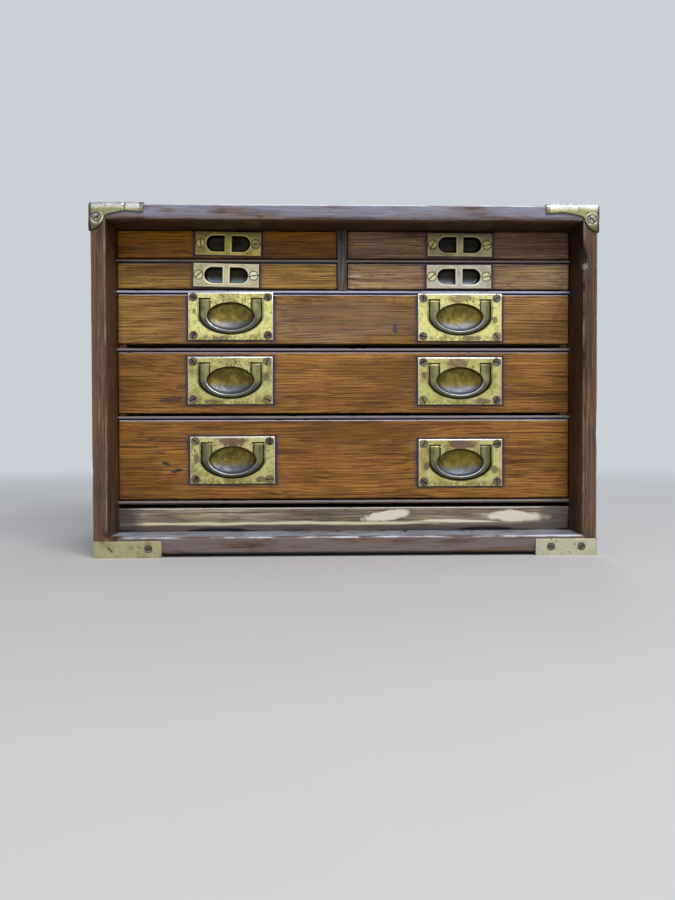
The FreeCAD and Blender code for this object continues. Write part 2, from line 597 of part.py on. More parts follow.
def corner_brass():
    """({(across, back): (cap, foot)}, blanks, screws) for the four corners."""
    brass, all_blanks, all_screws = {}, [], []
    feet = ((False, FOOT_FRONT_LEFT, FOOT_SCREWS_LEFT), (True, FOOT_FRONT_RIGHT, FOOT_SCREWS_RIGHT))
    for across, front_l, foot_screws in feet:
        for back in (False, True):
            blanks, screws = corner_screws(foot_screws)
            pair = [shape.cut(blanks) for shape in (corner_cap(), foot_cap(front_l))]
            brass[(across, back)] = [mirrored(shape, across, back) for shape in pair]
            all_blanks += [mirrored(blank, across, back) for blank in blanks]
            all_screws += [mirrored(screw, across, back) for screw in screws]
    return brass, all_blanks, all_screws


def carcase():
    """Writes the carcase's boards, blades, divider, rail and brass."""
    top, base, left, right = carcase_boards()
    back = block(
        (-INNER_X - BACK_LAP, INNER_X + BACK_LAP),
        (PANEL_Y, BACK_Y),
        (LEDGE_Z - BACK_LAP, TOP_UNDERSIDE + BACK_LAP),
    )
    full = (-INNER_X - BLADE_HOUSING, INNER_X + BLADE_HOUSING)
    blades = {
        "blade_below_deep": blade(*full, BLADE_BELOW_DEEP),
        "blade_below_middle": blade(*full, BLADE_BELOW_MIDDLE),
        "blade_below_shallow": blade(*full, BLADE_BELOW_SHALLOW),
        "blade_below_small": blade(*full, BLADE_BELOW_LOWER),
        "small_blade_left": blade(full[0], DIVIDER_LEFT + SMALL_BLADE_HOUSING, BLADE_BELOW_UPPER),
        "small_blade_right": blade(DIVIDER_RIGHT - SMALL_BLADE_HOUSING, full[1], BLADE_BELOW_UPPER),
    }
    divider = divider_board()
    rail_y = DRAWER_Y + RAIL_SETBACK
    rail = block((-INNER_X, INNER_X), (rail_y, rail_y + RAIL_T), (LEDGE_Z, LEDGE_Z + RAIL_H))
    slots, notches = tongue_seats()
    brass, blanks, screws = corner_brass()
    feet = [foot for _, foot in brass.values()]
    housed = list(blades.values())
    export("top_board", top.cut([back, divider] + blanks))
    export("base_board", base.cut([back] + slots + feet + blanks))
    export("left_side", left.cut([back] + housed + feet + blanks))
    export("right_side", right.cut([back] + housed + feet + blanks))
    export("back_panel", back.cut(blanks))
    export("centre_divider", divider.cut(housed))
    export("base_rail", rail.cut(notches))
    for name, board in blades.items():
        export(name, board)
    export("corner_cap_left", brass[(False, False)][0])
    export("corner_cap_right", brass[(True, False)][0])
    export("foot_cap_left", brass[(False, False)][1])
    export("foot_cap_right", brass[(True, False)][1])
    export("rear_corner_brass", *brass[(False, True)], *brass[(True, True)])
    export("corner_screws", *screws)


def main():
    os.makedirs("parts", exist_ok=True)
    carcase()
    deep = (BLADE_BELOW_DEEP, DEEP_FOOT_GAP, DEEP_FRONT_H)
    middle = (BLADE_BELOW_MIDDLE, MIDDLE_FOOT_GAP, MIDDLE_FRONT_H)
    shallow = (BLADE_BELOW_SHALLOW, SHALLOW_FOOT_GAP, SHALLOW_FRONT_H)
    large_drawer("deep", *deep, DEEP_HANDLES, DEEP_TURNS)
    large_drawer("middle", *middle, MIDDLE_HANDLES, MIDDLE_TURNS)
    large_drawer("shallow", *shallow, SHALLOW_HANDLES, SHALLOW_TURNS)
    left, right = (-INNER_X, DIVIDER_LEFT), (DIVIDER_RIGHT, INNER_X)
    lower = (BLADE_BELOW_LOWER, LOWER_FOOT_GAP, LOWER_FRONT_H)
    upper = (BLADE_BELOW_UPPER, UPPER_FOOT_GAP, UPPER_FRONT_H)
    small_drawer("lower_left", *left, *lower, LOWER_LEFT_PULL, LOWER_LEFT_TURNS)
    small_drawer("lower_right", *right, *lower, LOWER_RIGHT_PULL, LOWER_RIGHT_TURNS)
    small_drawer("upper_left", *left, *upper, UPPER_LEFT_PULL, UPPER_LEFT_TURNS)
    small_drawer("upper_right", *right, *upper, UPPER_RIGHT_PULL, UPPER_RIGHT_TURNS)


if __name__ == "__main__":
    main()
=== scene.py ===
import functools
import math

import bmesh
import bpy
import numpy as np
from mathutils import Matrix, Vector


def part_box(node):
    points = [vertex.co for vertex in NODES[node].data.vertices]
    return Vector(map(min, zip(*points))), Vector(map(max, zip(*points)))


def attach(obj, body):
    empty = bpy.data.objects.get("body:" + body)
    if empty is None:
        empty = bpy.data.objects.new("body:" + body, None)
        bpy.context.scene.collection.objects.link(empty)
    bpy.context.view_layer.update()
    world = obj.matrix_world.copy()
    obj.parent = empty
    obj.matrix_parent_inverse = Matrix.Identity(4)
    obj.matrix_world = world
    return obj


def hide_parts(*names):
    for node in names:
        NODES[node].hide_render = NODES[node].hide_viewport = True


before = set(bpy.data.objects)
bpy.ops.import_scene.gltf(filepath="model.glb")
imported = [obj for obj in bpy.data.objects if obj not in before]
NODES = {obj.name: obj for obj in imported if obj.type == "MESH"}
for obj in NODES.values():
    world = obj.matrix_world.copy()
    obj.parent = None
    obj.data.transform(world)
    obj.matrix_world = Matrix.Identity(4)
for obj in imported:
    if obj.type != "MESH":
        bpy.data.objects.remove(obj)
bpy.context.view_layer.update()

# The dressed cabinet. Lengths are millimetres unless a name says otherwise; Blender's own are metres.
MM = 0.001
SKIN = 0.02  # how far a worn face lies inside the solid's face
SPARE = 1.5  # how far a face that isn't worn lies outside it
WELD = 0.002  # vertices nearer than this are one
SHARP, FLAT = math.radians(32), math.radians(0.3)


def box_mm(node):
    low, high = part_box(node)
    return np.array(low) / MM, np.array(high) / MM


TOP_LOW, TOP_HIGH = box_mm("top_board")
BASE_LOW, BASE_HIGH = box_mm("base_board")
OUTER_X = TOP_HIGH[0]
INNER_X = OUTER_X - (TOP_HIGH[2] - TOP_LOW[2])
FRONT_Y, BACK_Y = TOP_LOW[1], TOP_HIGH[1]
TOP_Z, CEILING_Z = TOP_HIGH[2], TOP_LOW[2]
BASE_Z, LEDGE_Z = BASE_LOW[2], BASE_HIGH[2]
DRAWER_Y = box_mm("deep_drawer_front")[0][1]
PLATE_FACE_Y = box_mm("deep_handle_plates")[0][1]
PULL_FACE_Y = box_mm("upper_left_finger_pull")[0][1]
BLADES = ("blade_below_deep", "blade_below_middle", "blade_below_shallow", "blade_below_small",
          "small_blade_left", "small_blade_right")
BLADE_LEVELS = sorted({float(box_mm(node)[0][2]) for node in BLADES})

# Flush handles, about the middle of a plate
PLATE_HALF = (44.75, 25.2)
PLATE_SCREW = (39.0, 20.0)
BAIL_HALF_W, BAIL_LEG_IN = 32.4, 21.7
BAIL_TOP, BAIL_SPRING, BAIL_LOW, BAIL_T = 18.5, 2.0, 17.8, 4.0
PIVOT_Z, PIVOT_R, PIVOT_OUT = 16.5, 1.2, 1.7
CUP_HALF, CUP_Z, CUP_DEPTH = (24.5, 14.6), 0.3, 10.5
GROOVE_DEPTH, GROOVE_GAP = 4.7, 0.7
AXIS_Y = PLATE_FACE_Y + BAIL_T / 2
BAIL_CORNER = 2 / 3.4  # power of sine and cosine in a bail's section: 1 is an ellipse, 0 a rectangle
OVAL_STEPS, BAIL_STEPS, PIN_STEPS = 96, 28, 24

# Finger pulls, about the middle of a pull
PULL_HALF = (34.5, 12.4)
PULL_HOLE_HALF_W, PULL_HOLE_R, PULL_BAR_HALF = 22.8, 8.25, 3.9
PULL_SCREW_X = 28.8
SCREW_R = 4.15

# Corner brass
CAP_T, FOOT_PROUD = 2.0, 0.1
CAP_END, CAP_CREASE = 204.0, 220.1  # from the cabinet's middle to the end and the crease of a cap's arm
CAP_SCREW = (7.0, 14.0)  # in from the side, and down from the top
BRASS_SCREW = (236.4, 8.8)  # left of the cabinet's middle, and above the floor
ROT_X = 234.0  # left of the middle, where the ledge has rotted


# --- Shader values --------------------
class Value:
    """Number at a point of a surface, made by shader nodes, that takes part in arithmetic."""

    def __init__(self, shader, socket):
        self.shader, self.socket = shader, socket

    def math(self, operation, *others):
        return self.shader.math(operation, self, *others)

    def __add__(self, other):
        return self.math("ADD", other)

    def __sub__(self, other):
        return self.math("SUBTRACT", other)

    def __rsub__(self, other):
        return self.shader.math("SUBTRACT", other, self)

    def __mul__(self, other):
        return self.math("MULTIPLY", other)

    def __truediv__(self, other):
        return self.math("DIVIDE", other)

    def __abs__(self):
        return self.math("ABSOLUTE")

    __radd__, __rmul__ = __add__, __mul__

    def least(self, *others):
        return functools.reduce(lambda value, other: value.math("MINIMUM", other), others, self)

    def most(self, *others):
        return functools.reduce(lambda value, other: value.math("MAXIMUM", other), others, self)

    def fade(self, zero, one):
        """0 at the first number and 1 at the second, smooth between."""
        node = self.shader.node("ShaderNodeMapRange", interpolation_type="SMOOTHSTEP")
        for name, value in (("Value", self), ("From Min", zero), ("From Max", one)):
            self.shader.put(node.inputs[name], value)
        return Value(self.shader, node.outputs["Result"])


class Shader:
    """One procedural material, with its colour and roughness so far. Its places are millimetres."""

    def __init__(self, name, seed):
        self.material = bpy.data.materials.new(name)
        self.material.use_nodes = True
        self.tree = self.material.node_tree
        self.bsdf = self.tree.nodes["Principled BSDF"]
        self.seed, self.tint, self.rough = seed, None, None
        scaled = self.node("ShaderNodeVectorMath", operation="SCALE")
        self.put(scaled.inputs[0], self.node("ShaderNodeTexCoord").outputs["Object"])
        self.put(scaled.inputs["Scale"], 1 / MM)
        self.place = scaled.outputs[0]
        split = self.node("ShaderNodeSeparateXYZ")
        self.put(split.inputs[0], self.place)
        self.x, self.y, self.z = (Value(self, out) for out in split.outputs)

    def node(self, kind, **settings):
        node = self.tree.nodes.new(kind)
        for name, value in settings.items():
            setattr(node, name, value)
        return node

    def put(self, socket, value):
        if isinstance(value, Value):
            value = value.socket
        if isinstance(value, bpy.types.NodeSocket):
            self.tree.links.new(value, socket)
        else:
            socket.default_value = value

    def math(self, operation, *values):
        node = self.node("ShaderNodeMath", operation=operation)
        for socket, value in zip(node.inputs, values):
            self.put(socket, value)
        return Value(self, node.outputs[0])

    def shifted(self, amount):
        """The surface's place, moved by an amount in all three directions."""
        node = self.node("ShaderNodeVectorMath", operation="ADD")
        self.put(node.inputs[0], self.place)
        self.put(node.inputs[1], amount)
        return node.outputs[0]

    def noise(self, per_mm, detail=2.0, rough=0.55, place=None):
        """Noise of about 0.5, with so many waves to a millimetre along each axis. Each call differs."""
        if not isinstance(per_mm, tuple):
            per_mm = (per_mm,) * 3
        self.seed += 1
        spin = np.random.default_rng(self.seed).uniform(0, 50, 3)
        vector = self.node("ShaderNodeVectorMath", operation="MULTIPLY_ADD")
        self.put(vector.inputs[0], self.place if place is None else place)
        vector.inputs[1].default_value = per_mm
        vector.inputs[2].default_value = tuple(float(s) for s in spin)
        node = self.node("ShaderNodeTexNoise")
        self.put(node.inputs["Vector"], vector.outputs[0])
        for name, value in (("Scale", 1.0), ("Detail", detail), ("Roughness", rough)):
            node.inputs[name].default_value = value
        return Value(self, node.outputs["Fac"])

    def mix(self, amount, first, second, blend="MIX"):
        node = self.node("ShaderNodeMix", data_type="RGBA", blend_type=blend, clamp_factor=True)
        for index, value in ((0, amount), (6, first), (7, second)):
            self.put(node.inputs[index], colour(value) if isinstance(value, tuple) else value)
        return node.outputs[2]

    def coat(self, amount, tone, blend="MIX"):
        """Lays so much of a tone over the colour so far."""
        self.tint = self.mix(amount, self.tint, tone, blend)

    def ramp(self, value, *stops):
        node = self.node("ShaderNodeValToRGB")
        ramp = node.color_ramp
        while len(ramp.elements) < len(stops):
            ramp.elements.new(0.5)
        for element, (position, tone) in zip(ramp.elements, stops):
            element.position, element.color = position, colour(tone)
        self.put(node.inputs[0], value)
        return node.outputs[0]

    def spot(self, x, z, reach_x, reach_z, ragged=0.5, lean=0.0):
        """1 inside an oval on the front, 0 outside, with an uneven edge. It leans by so much z to each x."""
        dx = (self.x - x) / reach_x
        dz = (self.z - z - (self.x - x) * lean) / reach_z
        far = distance(dx, dz)
        uneven = (self.noise(1.6 / max(reach_x, reach_z, 2.0)) - 0.5) * (ragged * 2.4)
        return (far + uneven).fade(1.15, 0.75)

    def finish(self, height=None, bump=0.2, **constants):
        """Connects colour, roughness and bump (depth in mm), and sets the shader's own numbers."""
        self.put(self.bsdf.inputs["Base Color"], self.tint)
        self.put(self.bsdf.inputs["Roughness"], self.rough)
        if height is not None:
            node = self.node("ShaderNodeBump")
            node.inputs["Strength"].default_value = 1.0
            node.inputs["Distance"].default_value = bump * MM
            self.put(node.inputs["Height"], height)
            self.put(self.bsdf.inputs["Normal"], node.outputs[0])
        for name, value in constants.items():
            self.bsdf.inputs[name.replace("_", " ")].default_value = value
        return self.material


def colour(rgb):
    return (*rgb, 1.0) if len(rgb) == 3 else rgb


def distance(dx, dz):
    return (dx * dx + dz * dz).math("SQRT")


# --- Wood --------------------
UNDERSIDE_SHADOW = (0.018, 0.012, 0.014)
PORE = (0.03, 0.014, 0.008)
LIGHTER = (1.3, 1.26, 1.2)
CASE_OAK = ((0.038, 0.017, 0.009), (0.12, 0.058, 0.028), (0.23, 0.125, 0.066))
BLADE_OAK = ((0.035, 0.018, 0.013), (0.09, 0.048, 0.032), (0.16, 0.095, 0.066))
BARE_OAK = ((0.11, 0.084, 0.062), (0.26, 0.208, 0.152), (0.44, 0.37, 0.28))
DIVIDER_OAK = ((0.018, 0.013, 0.012), (0.056, 0.043, 0.04), (0.17, 0.15, 0.155))
LINING_OAK = ((0.17, 0.095, 0.045), (0.3, 0.18, 0.09), (0.42, 0.27, 0.15))
BACK_OAK = ((0.05, 0.027, 0.015), (0.105, 0.06, 0.033), (0.17, 0.105, 0.062))


def oak(red, green, blue):
    """(dark, middle, light) tones of oak about a middle tone."""
    light = (red * 1.55, green * 1.68, blue * 1.75)
    return (red * 0.4, green * 0.34, blue * 0.34), (red, green, blue), light


def along(grain, per_mm):
    """Waves to a millimetre for grain along X, turned round where it runs along Z."""
    return per_mm if grain == "X" else per_mm[::-1]


def grained(shader, grain, tones):
    """Colours oak with its grain along an axis, and gives its height."""
    def noise(lengthways, across, *settings, **place):
        per_mm = tuple(lengthways if axis == grain else across for axis in "XYZ")
        return shader.noise(per_mm, *settings, **place)

    drift = (noise(0.0045, 0.016, 1.0) - 0.5) * 14
    drift = drift + (noise(0.03, 0.06, 1.0) - 0.5) * 1.6
    place = shader.shifted(drift)
    bands = noise(0.003, 0.055, place=place)
    lines = noise(0.009, 0.55, 1.5, 0.5, place=place)
    fine = noise(0.02, 0.95, 2.0, 0.6, place=place)
    across = sum(value for axis, value in zip("XYZ", (shader.x, shader.y, shader.z)) if axis != grain)
    swirl = noise(0.006, 0.045)
    rings = (across * 2.1 + swirl * 30.0 + lines * 2.5).math("SINE")
    cloud = noise(0.01, 0.02, 3.0)
    tone = bands * 0.42 + lines * 0.34 + fine * 0.7 + cloud * 0.5 - 0.48
    shader.tint = shader.ramp(tone, (0.34, tones[0]), (0.5, tones[1]), (0.66, tones[2]))
    hue = noise(0.02, 0.16, 3.0)
    shader.coat(hue.fade(0.5, 0.62) * 0.8, (1.03, 0.86, 0.9), "MULTIPLY")
    shader.coat(hue.fade(0.48, 0.38) * 0.8, (0.99, 1.02, 0.66), "MULTIPLY")
    thin = rings.fade(0.1, 0.95) * (fine.fade(0.62, 0.4) * 0.5 + 0.5) * (cloud.fade(0.34, 0.54) * 0.7 + 0.3)
    shader.coat(thin * 0.7, tones[0])
    shader.coat(rings.fade(-0.2, -0.95) * 0.45, LIGHTER, "MULTIPLY")
    rays = noise(0.035, 0.1).fade(0.6, 0.7)
    shader.coat(rays * 0.35, LIGHTER, "MULTIPLY")
    pores = fine.fade(0.44, 0.36) * lines.fade(0.56, 0.42)
    shader.coat(pores * 0.45, PORE)
    return lines * 0.5 + fine * 0.4 - pores * 0.5


def front_material(name, seed, tones, plates, arris_highlight):
    """Waxed drawer front: grime and painted shadow round its brass, a painted highlight on its upper arris.
    Plates are (x, z, half width, half height).
    """
    shader = Shader(name, seed)
    coat, spot = shader.coat, shader.spot
    height = grained(shader, "X", tones)
    low, high = box_mm(name)
    below, above = shader.z - float(low[2]), float(high[2]) - shader.z
    ends = (shader.x - float(low[0])).least(float(high[0]) - shader.x)
    uneven = shader.noise(0.09, 3.0)
    coat((below + uneven * 5).fade(4.4, 1.4) * 0.6, tones[0])
    coat((below.least(above) + uneven * 2).fade(2.6, 1.0) * 0.45, tones[0])
    coat((ends + uneven * 10).fade(11, 4) * 0.4, tones[0])
    depth = shader.y - DRAWER_Y
    near_face = depth.fade(2.6, 1.2)
    # Grime and painted shadow round each plate: a wide band, and a darker narrow one at its edge.
    for x, z, half_w, half_h in plates:
        side = abs(shader.x - x) - half_w
        away = (side * 0.55).most(abs(shader.z - z) - half_h)
        coat((away + uneven * 5).fade(7.0, 2.6) * near_face * 0.5, (0.075, 0.042, 0.046))
        coat((away + uneven * 2.2).fade(3.2, 1.7) * near_face * 0.85, (0.028, 0.026, 0.05))
    for x, z, reach_x, reach_z, amount, mark, lean in FRONT_MARKS.get(name, ()):
        coat(spot(x, z, reach_x, reach_z, lean=lean) * near_face * amount, mark)
    for x, z, reach_x, reach_z, amount in FRONT_SHADES.get(name, ()):
        coat(spot(x, z, reach_x, reach_z, 0.9) * amount, tones[0])
    bruises = shader.noise((0.075, 0.1, 0.1), 3.0, 0.6).fade(0.58, 0.7)
    coat(bruises * near_face * 0.4, tones[0])
    # Painted bluish white highlight along the upper arris.
    arris = (above + (uneven - 0.5) * 0.8).fade(1.15, 0.65) * depth.fade(2.4, 1.2)
    coat(arris * arris_highlight, (0.48, 0.5, 0.62))
    shader.rough = shader.noise(0.035, 3.0) * 0.22 + 0.3
    return shader.finish(height, 0.12, Specular_IOR_Level=0.2)


# Gouges in a side's inner front arris, as (x, z, reach in x, reach in z). Only a long one has a pale tip, a
# painted highlight.
GOUGES = {"right_side": ((240.0, 301, 3.6, 9.0), (239.5, 271, 1.6, 3.5), (239.5, 199, 1.6, 4.5))}
LONG_GOUGE = 5


def case_material(name, seed, grain):
    """Dark oak of the carcase, worn pale at its arrises with a painted highlight on them, with bluish wax
    bloom on its front edges that is partly a painted sheen on the top board, painted shade on its inner
    faces and under the base, and painted highlights on the top's front arris and the ledge's lip.
    """
    shader = Shader(name, seed)
    coat, noise = shader.coat, shader.noise
    height = grained(shader, grain, CASE_OAK)
    x, z = abs(shader.x), shader.z
    outside = (OUTER_X - x).least(TOP_Z - z, z - BASE_Z)
    inside = (x - INNER_X).most(z - CEILING_Z, LEDGE_Z - z)
    depth = shader.y - FRONT_Y
    uneven = noise(0.05, 3.0)
    patchy = noise(along(grain, (0.014, 0.05, 0.09)), 3.0)
    front = depth.fade(3.0, 0.8)
    left = name == "left_side"
    if grain == "X":
        streaks = noise((0.03, 0.4, 0.4), 3.0).fade(0.3, 0.54) * 0.4 + 0.6
        bloom = front * patchy.fade(0.26, 0.52) * streaks
        if name == "top_board":
            # On the top board the bluish bloom is partly wax and partly a painted sheen, fading towards its
            # lower edge.
            upper = (z - CEILING_Z + uneven * 5).fade(3.5, 9.0) * 0.55 + 0.45
            coat(bloom * upper, (0.215, 0.225, 0.3))
        else:
            coat(bloom, (0.178, 0.14, 0.137))
    else:
        warm = front * (outside + uneven * 5).fade(9, 5) * (0.6 if left else 0.45)
        coat(warm, (0.17, 0.076, 0.036))
        bloom = front * (inside + uneven * 5).fade(-13, -6) * patchy.fade(0.32, 0.56)
        coat(bloom * 0.5, (0.105, 0.07, 0.055) if left else (0.074, 0.05, 0.044))
    # Arrises worn pale, with a painted highlight on them as well.
    for away, reach, tone in ((outside, 2.0, (0.26, 0.19, 0.15)), (inside, 1.6, (0.4, 0.33, 0.27))):
        edge = distance(away, depth)
        rubbed_and_highlit = (edge + uneven * 2.2).fade(reach + 1.4, reach) * patchy.fade(0.32, 0.52)
        coat(rubbed_and_highlit * 0.55, tone)
    within = inside.fade(1.0, 0.2)
    # Painted shade, with some grime, on the inner faces, deepening into the recess: slight on the left side,
    # more on the right, most on the top and base.
    dark = {"left_side": 0.2, "right_side": 0.45}.get(name, 0.78)
    coat(within * depth.fade(1.0, 14.0) * dark, (0.018, 0.008, 0.006))
    if grain == "Z":
        # Painted shade towards the top of the sides' inner faces, under the top board, heavier on the right.
        coat(z.fade(190, 320) * within * (0.35 if left else 0.75), (0.01, 0.006, 0.006))
        foul = z.fade(110, 40) * within * patchy.fade(0.4, 0.6)
        coat(foul * 0.6, (0.02, 0.022, 0.026))
    if name == "base_board":
        # The ledge's top: dust, with a painted bluish sheen.
        top = (z - LEDGE_Z).fade(-0.5, -0.1) * depth.fade(0.2, 1.0)
        dust_and_sheen_noise = patchy * 0.5 + noise((0.05, 0.12, 0.1), 4.0, 0.65) * 0.5
        dust_and_sheen = shader.mix(dust_and_sheen_noise.fade(0.38, 0.58), (0.16, 0.155, 0.175), (0.37, 0.405, 0.49))
        coat(top * 0.93, dust_and_sheen)
        # The ledge's worn lip, with a painted bluish white highlight.
        lip = distance(z - LEDGE_Z, depth)
        worn_lip_highlight = (lip + uneven * 2.2).fade(3.1, 1.9) * patchy.fade(0.26, 0.42)
        coat(worn_lip_highlight * 0.95, (0.68, 0.71, 0.82))
        # Painted shadow along the base board's lower edge, under the cabinet.
        coat((z - BASE_Z).fade(3.2, 1.0) * 0.9, UNDERSIDE_SHADOW)
        rotten = distance(shader.x + ROT_X, z - LEDGE_Z) + depth * 0.3
        coat((rotten + uneven * 6).fade(9, 5) * 0.85, (0.018, 0.016, 0.018))
    if name == "top_board":
        # Painted bluish white highlight along the top board's upper front arris.
        lip = distance(TOP_Z - z, depth)
        coat((lip + uneven * 1.4).fade(2.4, 1.6) * 0.95, (0.74, 0.74, 0.86))
    for at_x, at_z, reach_x, reach_z in GOUGES.get(name, ()):
        shallow = depth.fade(7.0, 4.0)
        coat(shader.spot(at_x, at_z, reach_x, reach_z, 0.4) * shallow, (0.02, 0.022, 0.02))
        if reach_z > LONG_GOUGE:
            # Painted highlight at the long gouge's tip.
            tip = shader.spot(at_x + 0.8, at_z - reach_z, reach_x * 0.8, reach_z * 0.36, 0.7)
            coat(tip * shallow * 0.7, (0.29, 0.27, 0.275))
    scuffs = noise(along(grain, (0.03, 0.25, 0.25)), 3.0).fade(0.62, 0.7)
    coat(scuffs * 0.3, (0.2, 0.15, 0.12))
    shader.rough = noise(0.03, 3.0) * 0.3 + 0.32
    return shader.finish(height, 0.18, Specular_IOR_Level=0.25)


def plain_wood(name, seed, grain, tones, roughness=0.6, wear_and_light=None):
    """Oak without grime. wear_and_light(shader) adds what a piece has of its own, worn marks and painted
    light.
    """
    shader = Shader(name, seed)
    height = grained(shader, grain, tones)
    if wear_and_light:
        wear_and_light(shader)
    shader.rough = shader.noise(0.05) * 0.2 + roughness - 0.1
    return shader.finish(height, 0.2, Specular_IOR_Level=0.3)


# Tones of the upper and lower part of each blade's nose, from the lowest blade up: pale wear with a painted
# highlight above, painted shade below
NOSES = (
    ((0.224, 0.2, 0.2), (0.105, 0.056, 0.032)), ((0.23, 0.205, 0.225), (0.02, 0.012, 0.02)),
    ((0.23, 0.21, 0.235), (0.02, 0.012, 0.02)), ((0.4, 0.43, 0.6), (0.016, 0.012, 0.026)),
    ((0.3, 0.24, 0.19), (0.022, 0.014, 0.034)),
)


def nose_highlight_and_shade(shader):
    """A blade's nose: pale above, worn and with a painted highlight, and dark below with painted shade. The
    lowest is brown below.
    """
    front = (shader.y - DRAWER_Y).fade(2.8, 1.4)
    patchy = shader.noise((0.02, 0.2, 0.2), 3.0).fade(0.22, 0.44)
    for level, (above, below) in zip(BLADE_LEVELS, NOSES):
        rise = shader.z - level
        here = rise.fade(-1.0, -0.4) * rise.fade(5.0, 4.4) * front
        upper = rise.fade(1.2, 1.8)
        shader.coat(here * upper * patchy * 0.85, above)
        shader.coat(here * (1.0 - upper) * 0.85, below)


# Scraped patches of the rail as (x, z, reach in x, reach in z, lean), and slits painted as shadow as (x,
# reach in x)
CREAM, CREAM_LINE = (0.8, 0.745, 0.6), (0.72, 0.64, 0.44)
CREAM_PATCHES = ((42, 36.5, 24, 5.0, 0.14), (180, 35.0, 36, 6.8, -0.03), (120, 30.4, 44, 1.7, -0.02))
SLITS = ((-133, 32), (150, 31))
RAIL_H, RAIL_LOW = 24.8, 12  # its height, and how far up its lower arris goes


def rail_wear_and_light(shader):
    """Bare rail: stained ends, darker along its wavy lower edge, with scraped cream patches, a painted
    highlight along its upper arris, and painted shadow at slits under it.
    """
    coat, noise = shader.coat, shader.noise
    x, rise = shader.x, shader.z - LEDGE_Z
    wavy = noise((0.012, 0.05, 0.05)) * 9
    coat(noise((0.006, 0.05, 0.12), 3.0).fade(0.46, 0.66) * 0.6, (0.19, 0.15, 0.12))
    coat((rise + wavy).fade(13.5, 8.5) * 0.85, (0.088, 0.066, 0.06))
    coat(abs(rise + wavy - 13.4).fade(2.2, 0.9) * x.fade(110, 60), CREAM_LINE)
    # Painted highlight along the rail's upper arris.
    upper = (LEDGE_Z + RAIL_H - shader.z).fade(1.5, 0.9) * (shader.y - DRAWER_Y).fade(3.4, 2.4)
    coat(upper * 0.8, (0.62, 0.6, 0.56))
    rough = noise(0.05, 3.0) * 30
    coat((x + rough).fade(-196, -212) * 0.85, (0.06, 0.05, 0.054))
    coat((x - rough).fade(188, 204) * 0.75, (0.11, 0.09, 0.085))
    for patch_x, patch_z, reach_x, reach_z, lean in CREAM_PATCHES:
        ragged = 0.6 if reach_z > 2 else 0.4
        coat(shader.spot(patch_x, patch_z, reach_x, reach_z, ragged, lean) * 0.95, CREAM)
    # Painted shadow of slits under the rail's lower edge.
    for at_x, reach_x in SLITS:
        coat(shader.spot(at_x, LEDGE_Z + 0.8, reach_x, 3.4, 0.15), SHADOW)


# --- Metal --------------------
BRIGHT_BRASS, PLATE_TARNISH = (0.83, 0.78, 0.3), (0.33, 0.27, 0.07)
CUP_TARNISH, CUP_BRASS = (0.142, 0.104, 0.024), (0.292, 0.226, 0.043)
# Painted light in the cup: a bluish reflection of the sky below, a highlight at its lower rim, and shade
# under its upper rim.
CUP_SKY_REFLECTION, CUP_RIM_HIGHLIGHT, CUP_SHADE = (0.076, 0.094, 0.152), (0.185, 0.225, 0.345), (0.036, 0.02, 0.014)
PIT = (0.085, 0.062, 0.022)
SHADOW = (0.016, 0.01, 0.012)
# Bright and tarnished tones
BAIL_BRASS = (0.275, 0.27, 0.11), (0.115, 0.115, 0.064)
SCREW_STEEL = (0.21, 0.18, 0.17), (0.075, 0.06, 0.062)
SCREW_BRASS = (0.76, 0.75, 0.52), (0.4, 0.35, 0.19)
CORNER_BRASS = (0.64, 0.6, 0.33), (0.31, 0.26, 0.11)
FOOT_STEEL = (0.3, 0.27, 0.25), (0.11, 0.09, 0.085)


def metal(name, seed, bright, tarnish, cover, pitting, polish, wear_and_light):
    """Old brass or steel: bright metal, tarnished in clouds, pitted and finely scratched."""
    shader = Shader(name, seed)
    cloud = shader.noise(0.075, 4.0, 0.6)
    dull = cloud.fade(*cover)
    shader.tint = shader.mix(dull * 0.8, bright, tarnish)
    crowd = shader.noise(0.055).fade(0.4, 0.6)
    pits = shader.noise(0.95, 1.5, 0.6).fade(0.56, 0.64) * (crowd * 0.8 + 0.2)
    shader.coat(pits * pitting, PIT)
    scratches = shader.noise((0.35, 0.35, 2.4))
    shader.rough = dull * 0.18 + scratches * 0.14 + pits * 0.2 + polish - 0.07
    height = cloud * 1.5 + scratches * 0.2 - pits * 0.8
    wear_and_light(shader)
    return shader.finish(height, 0.035, Metallic=1.0)


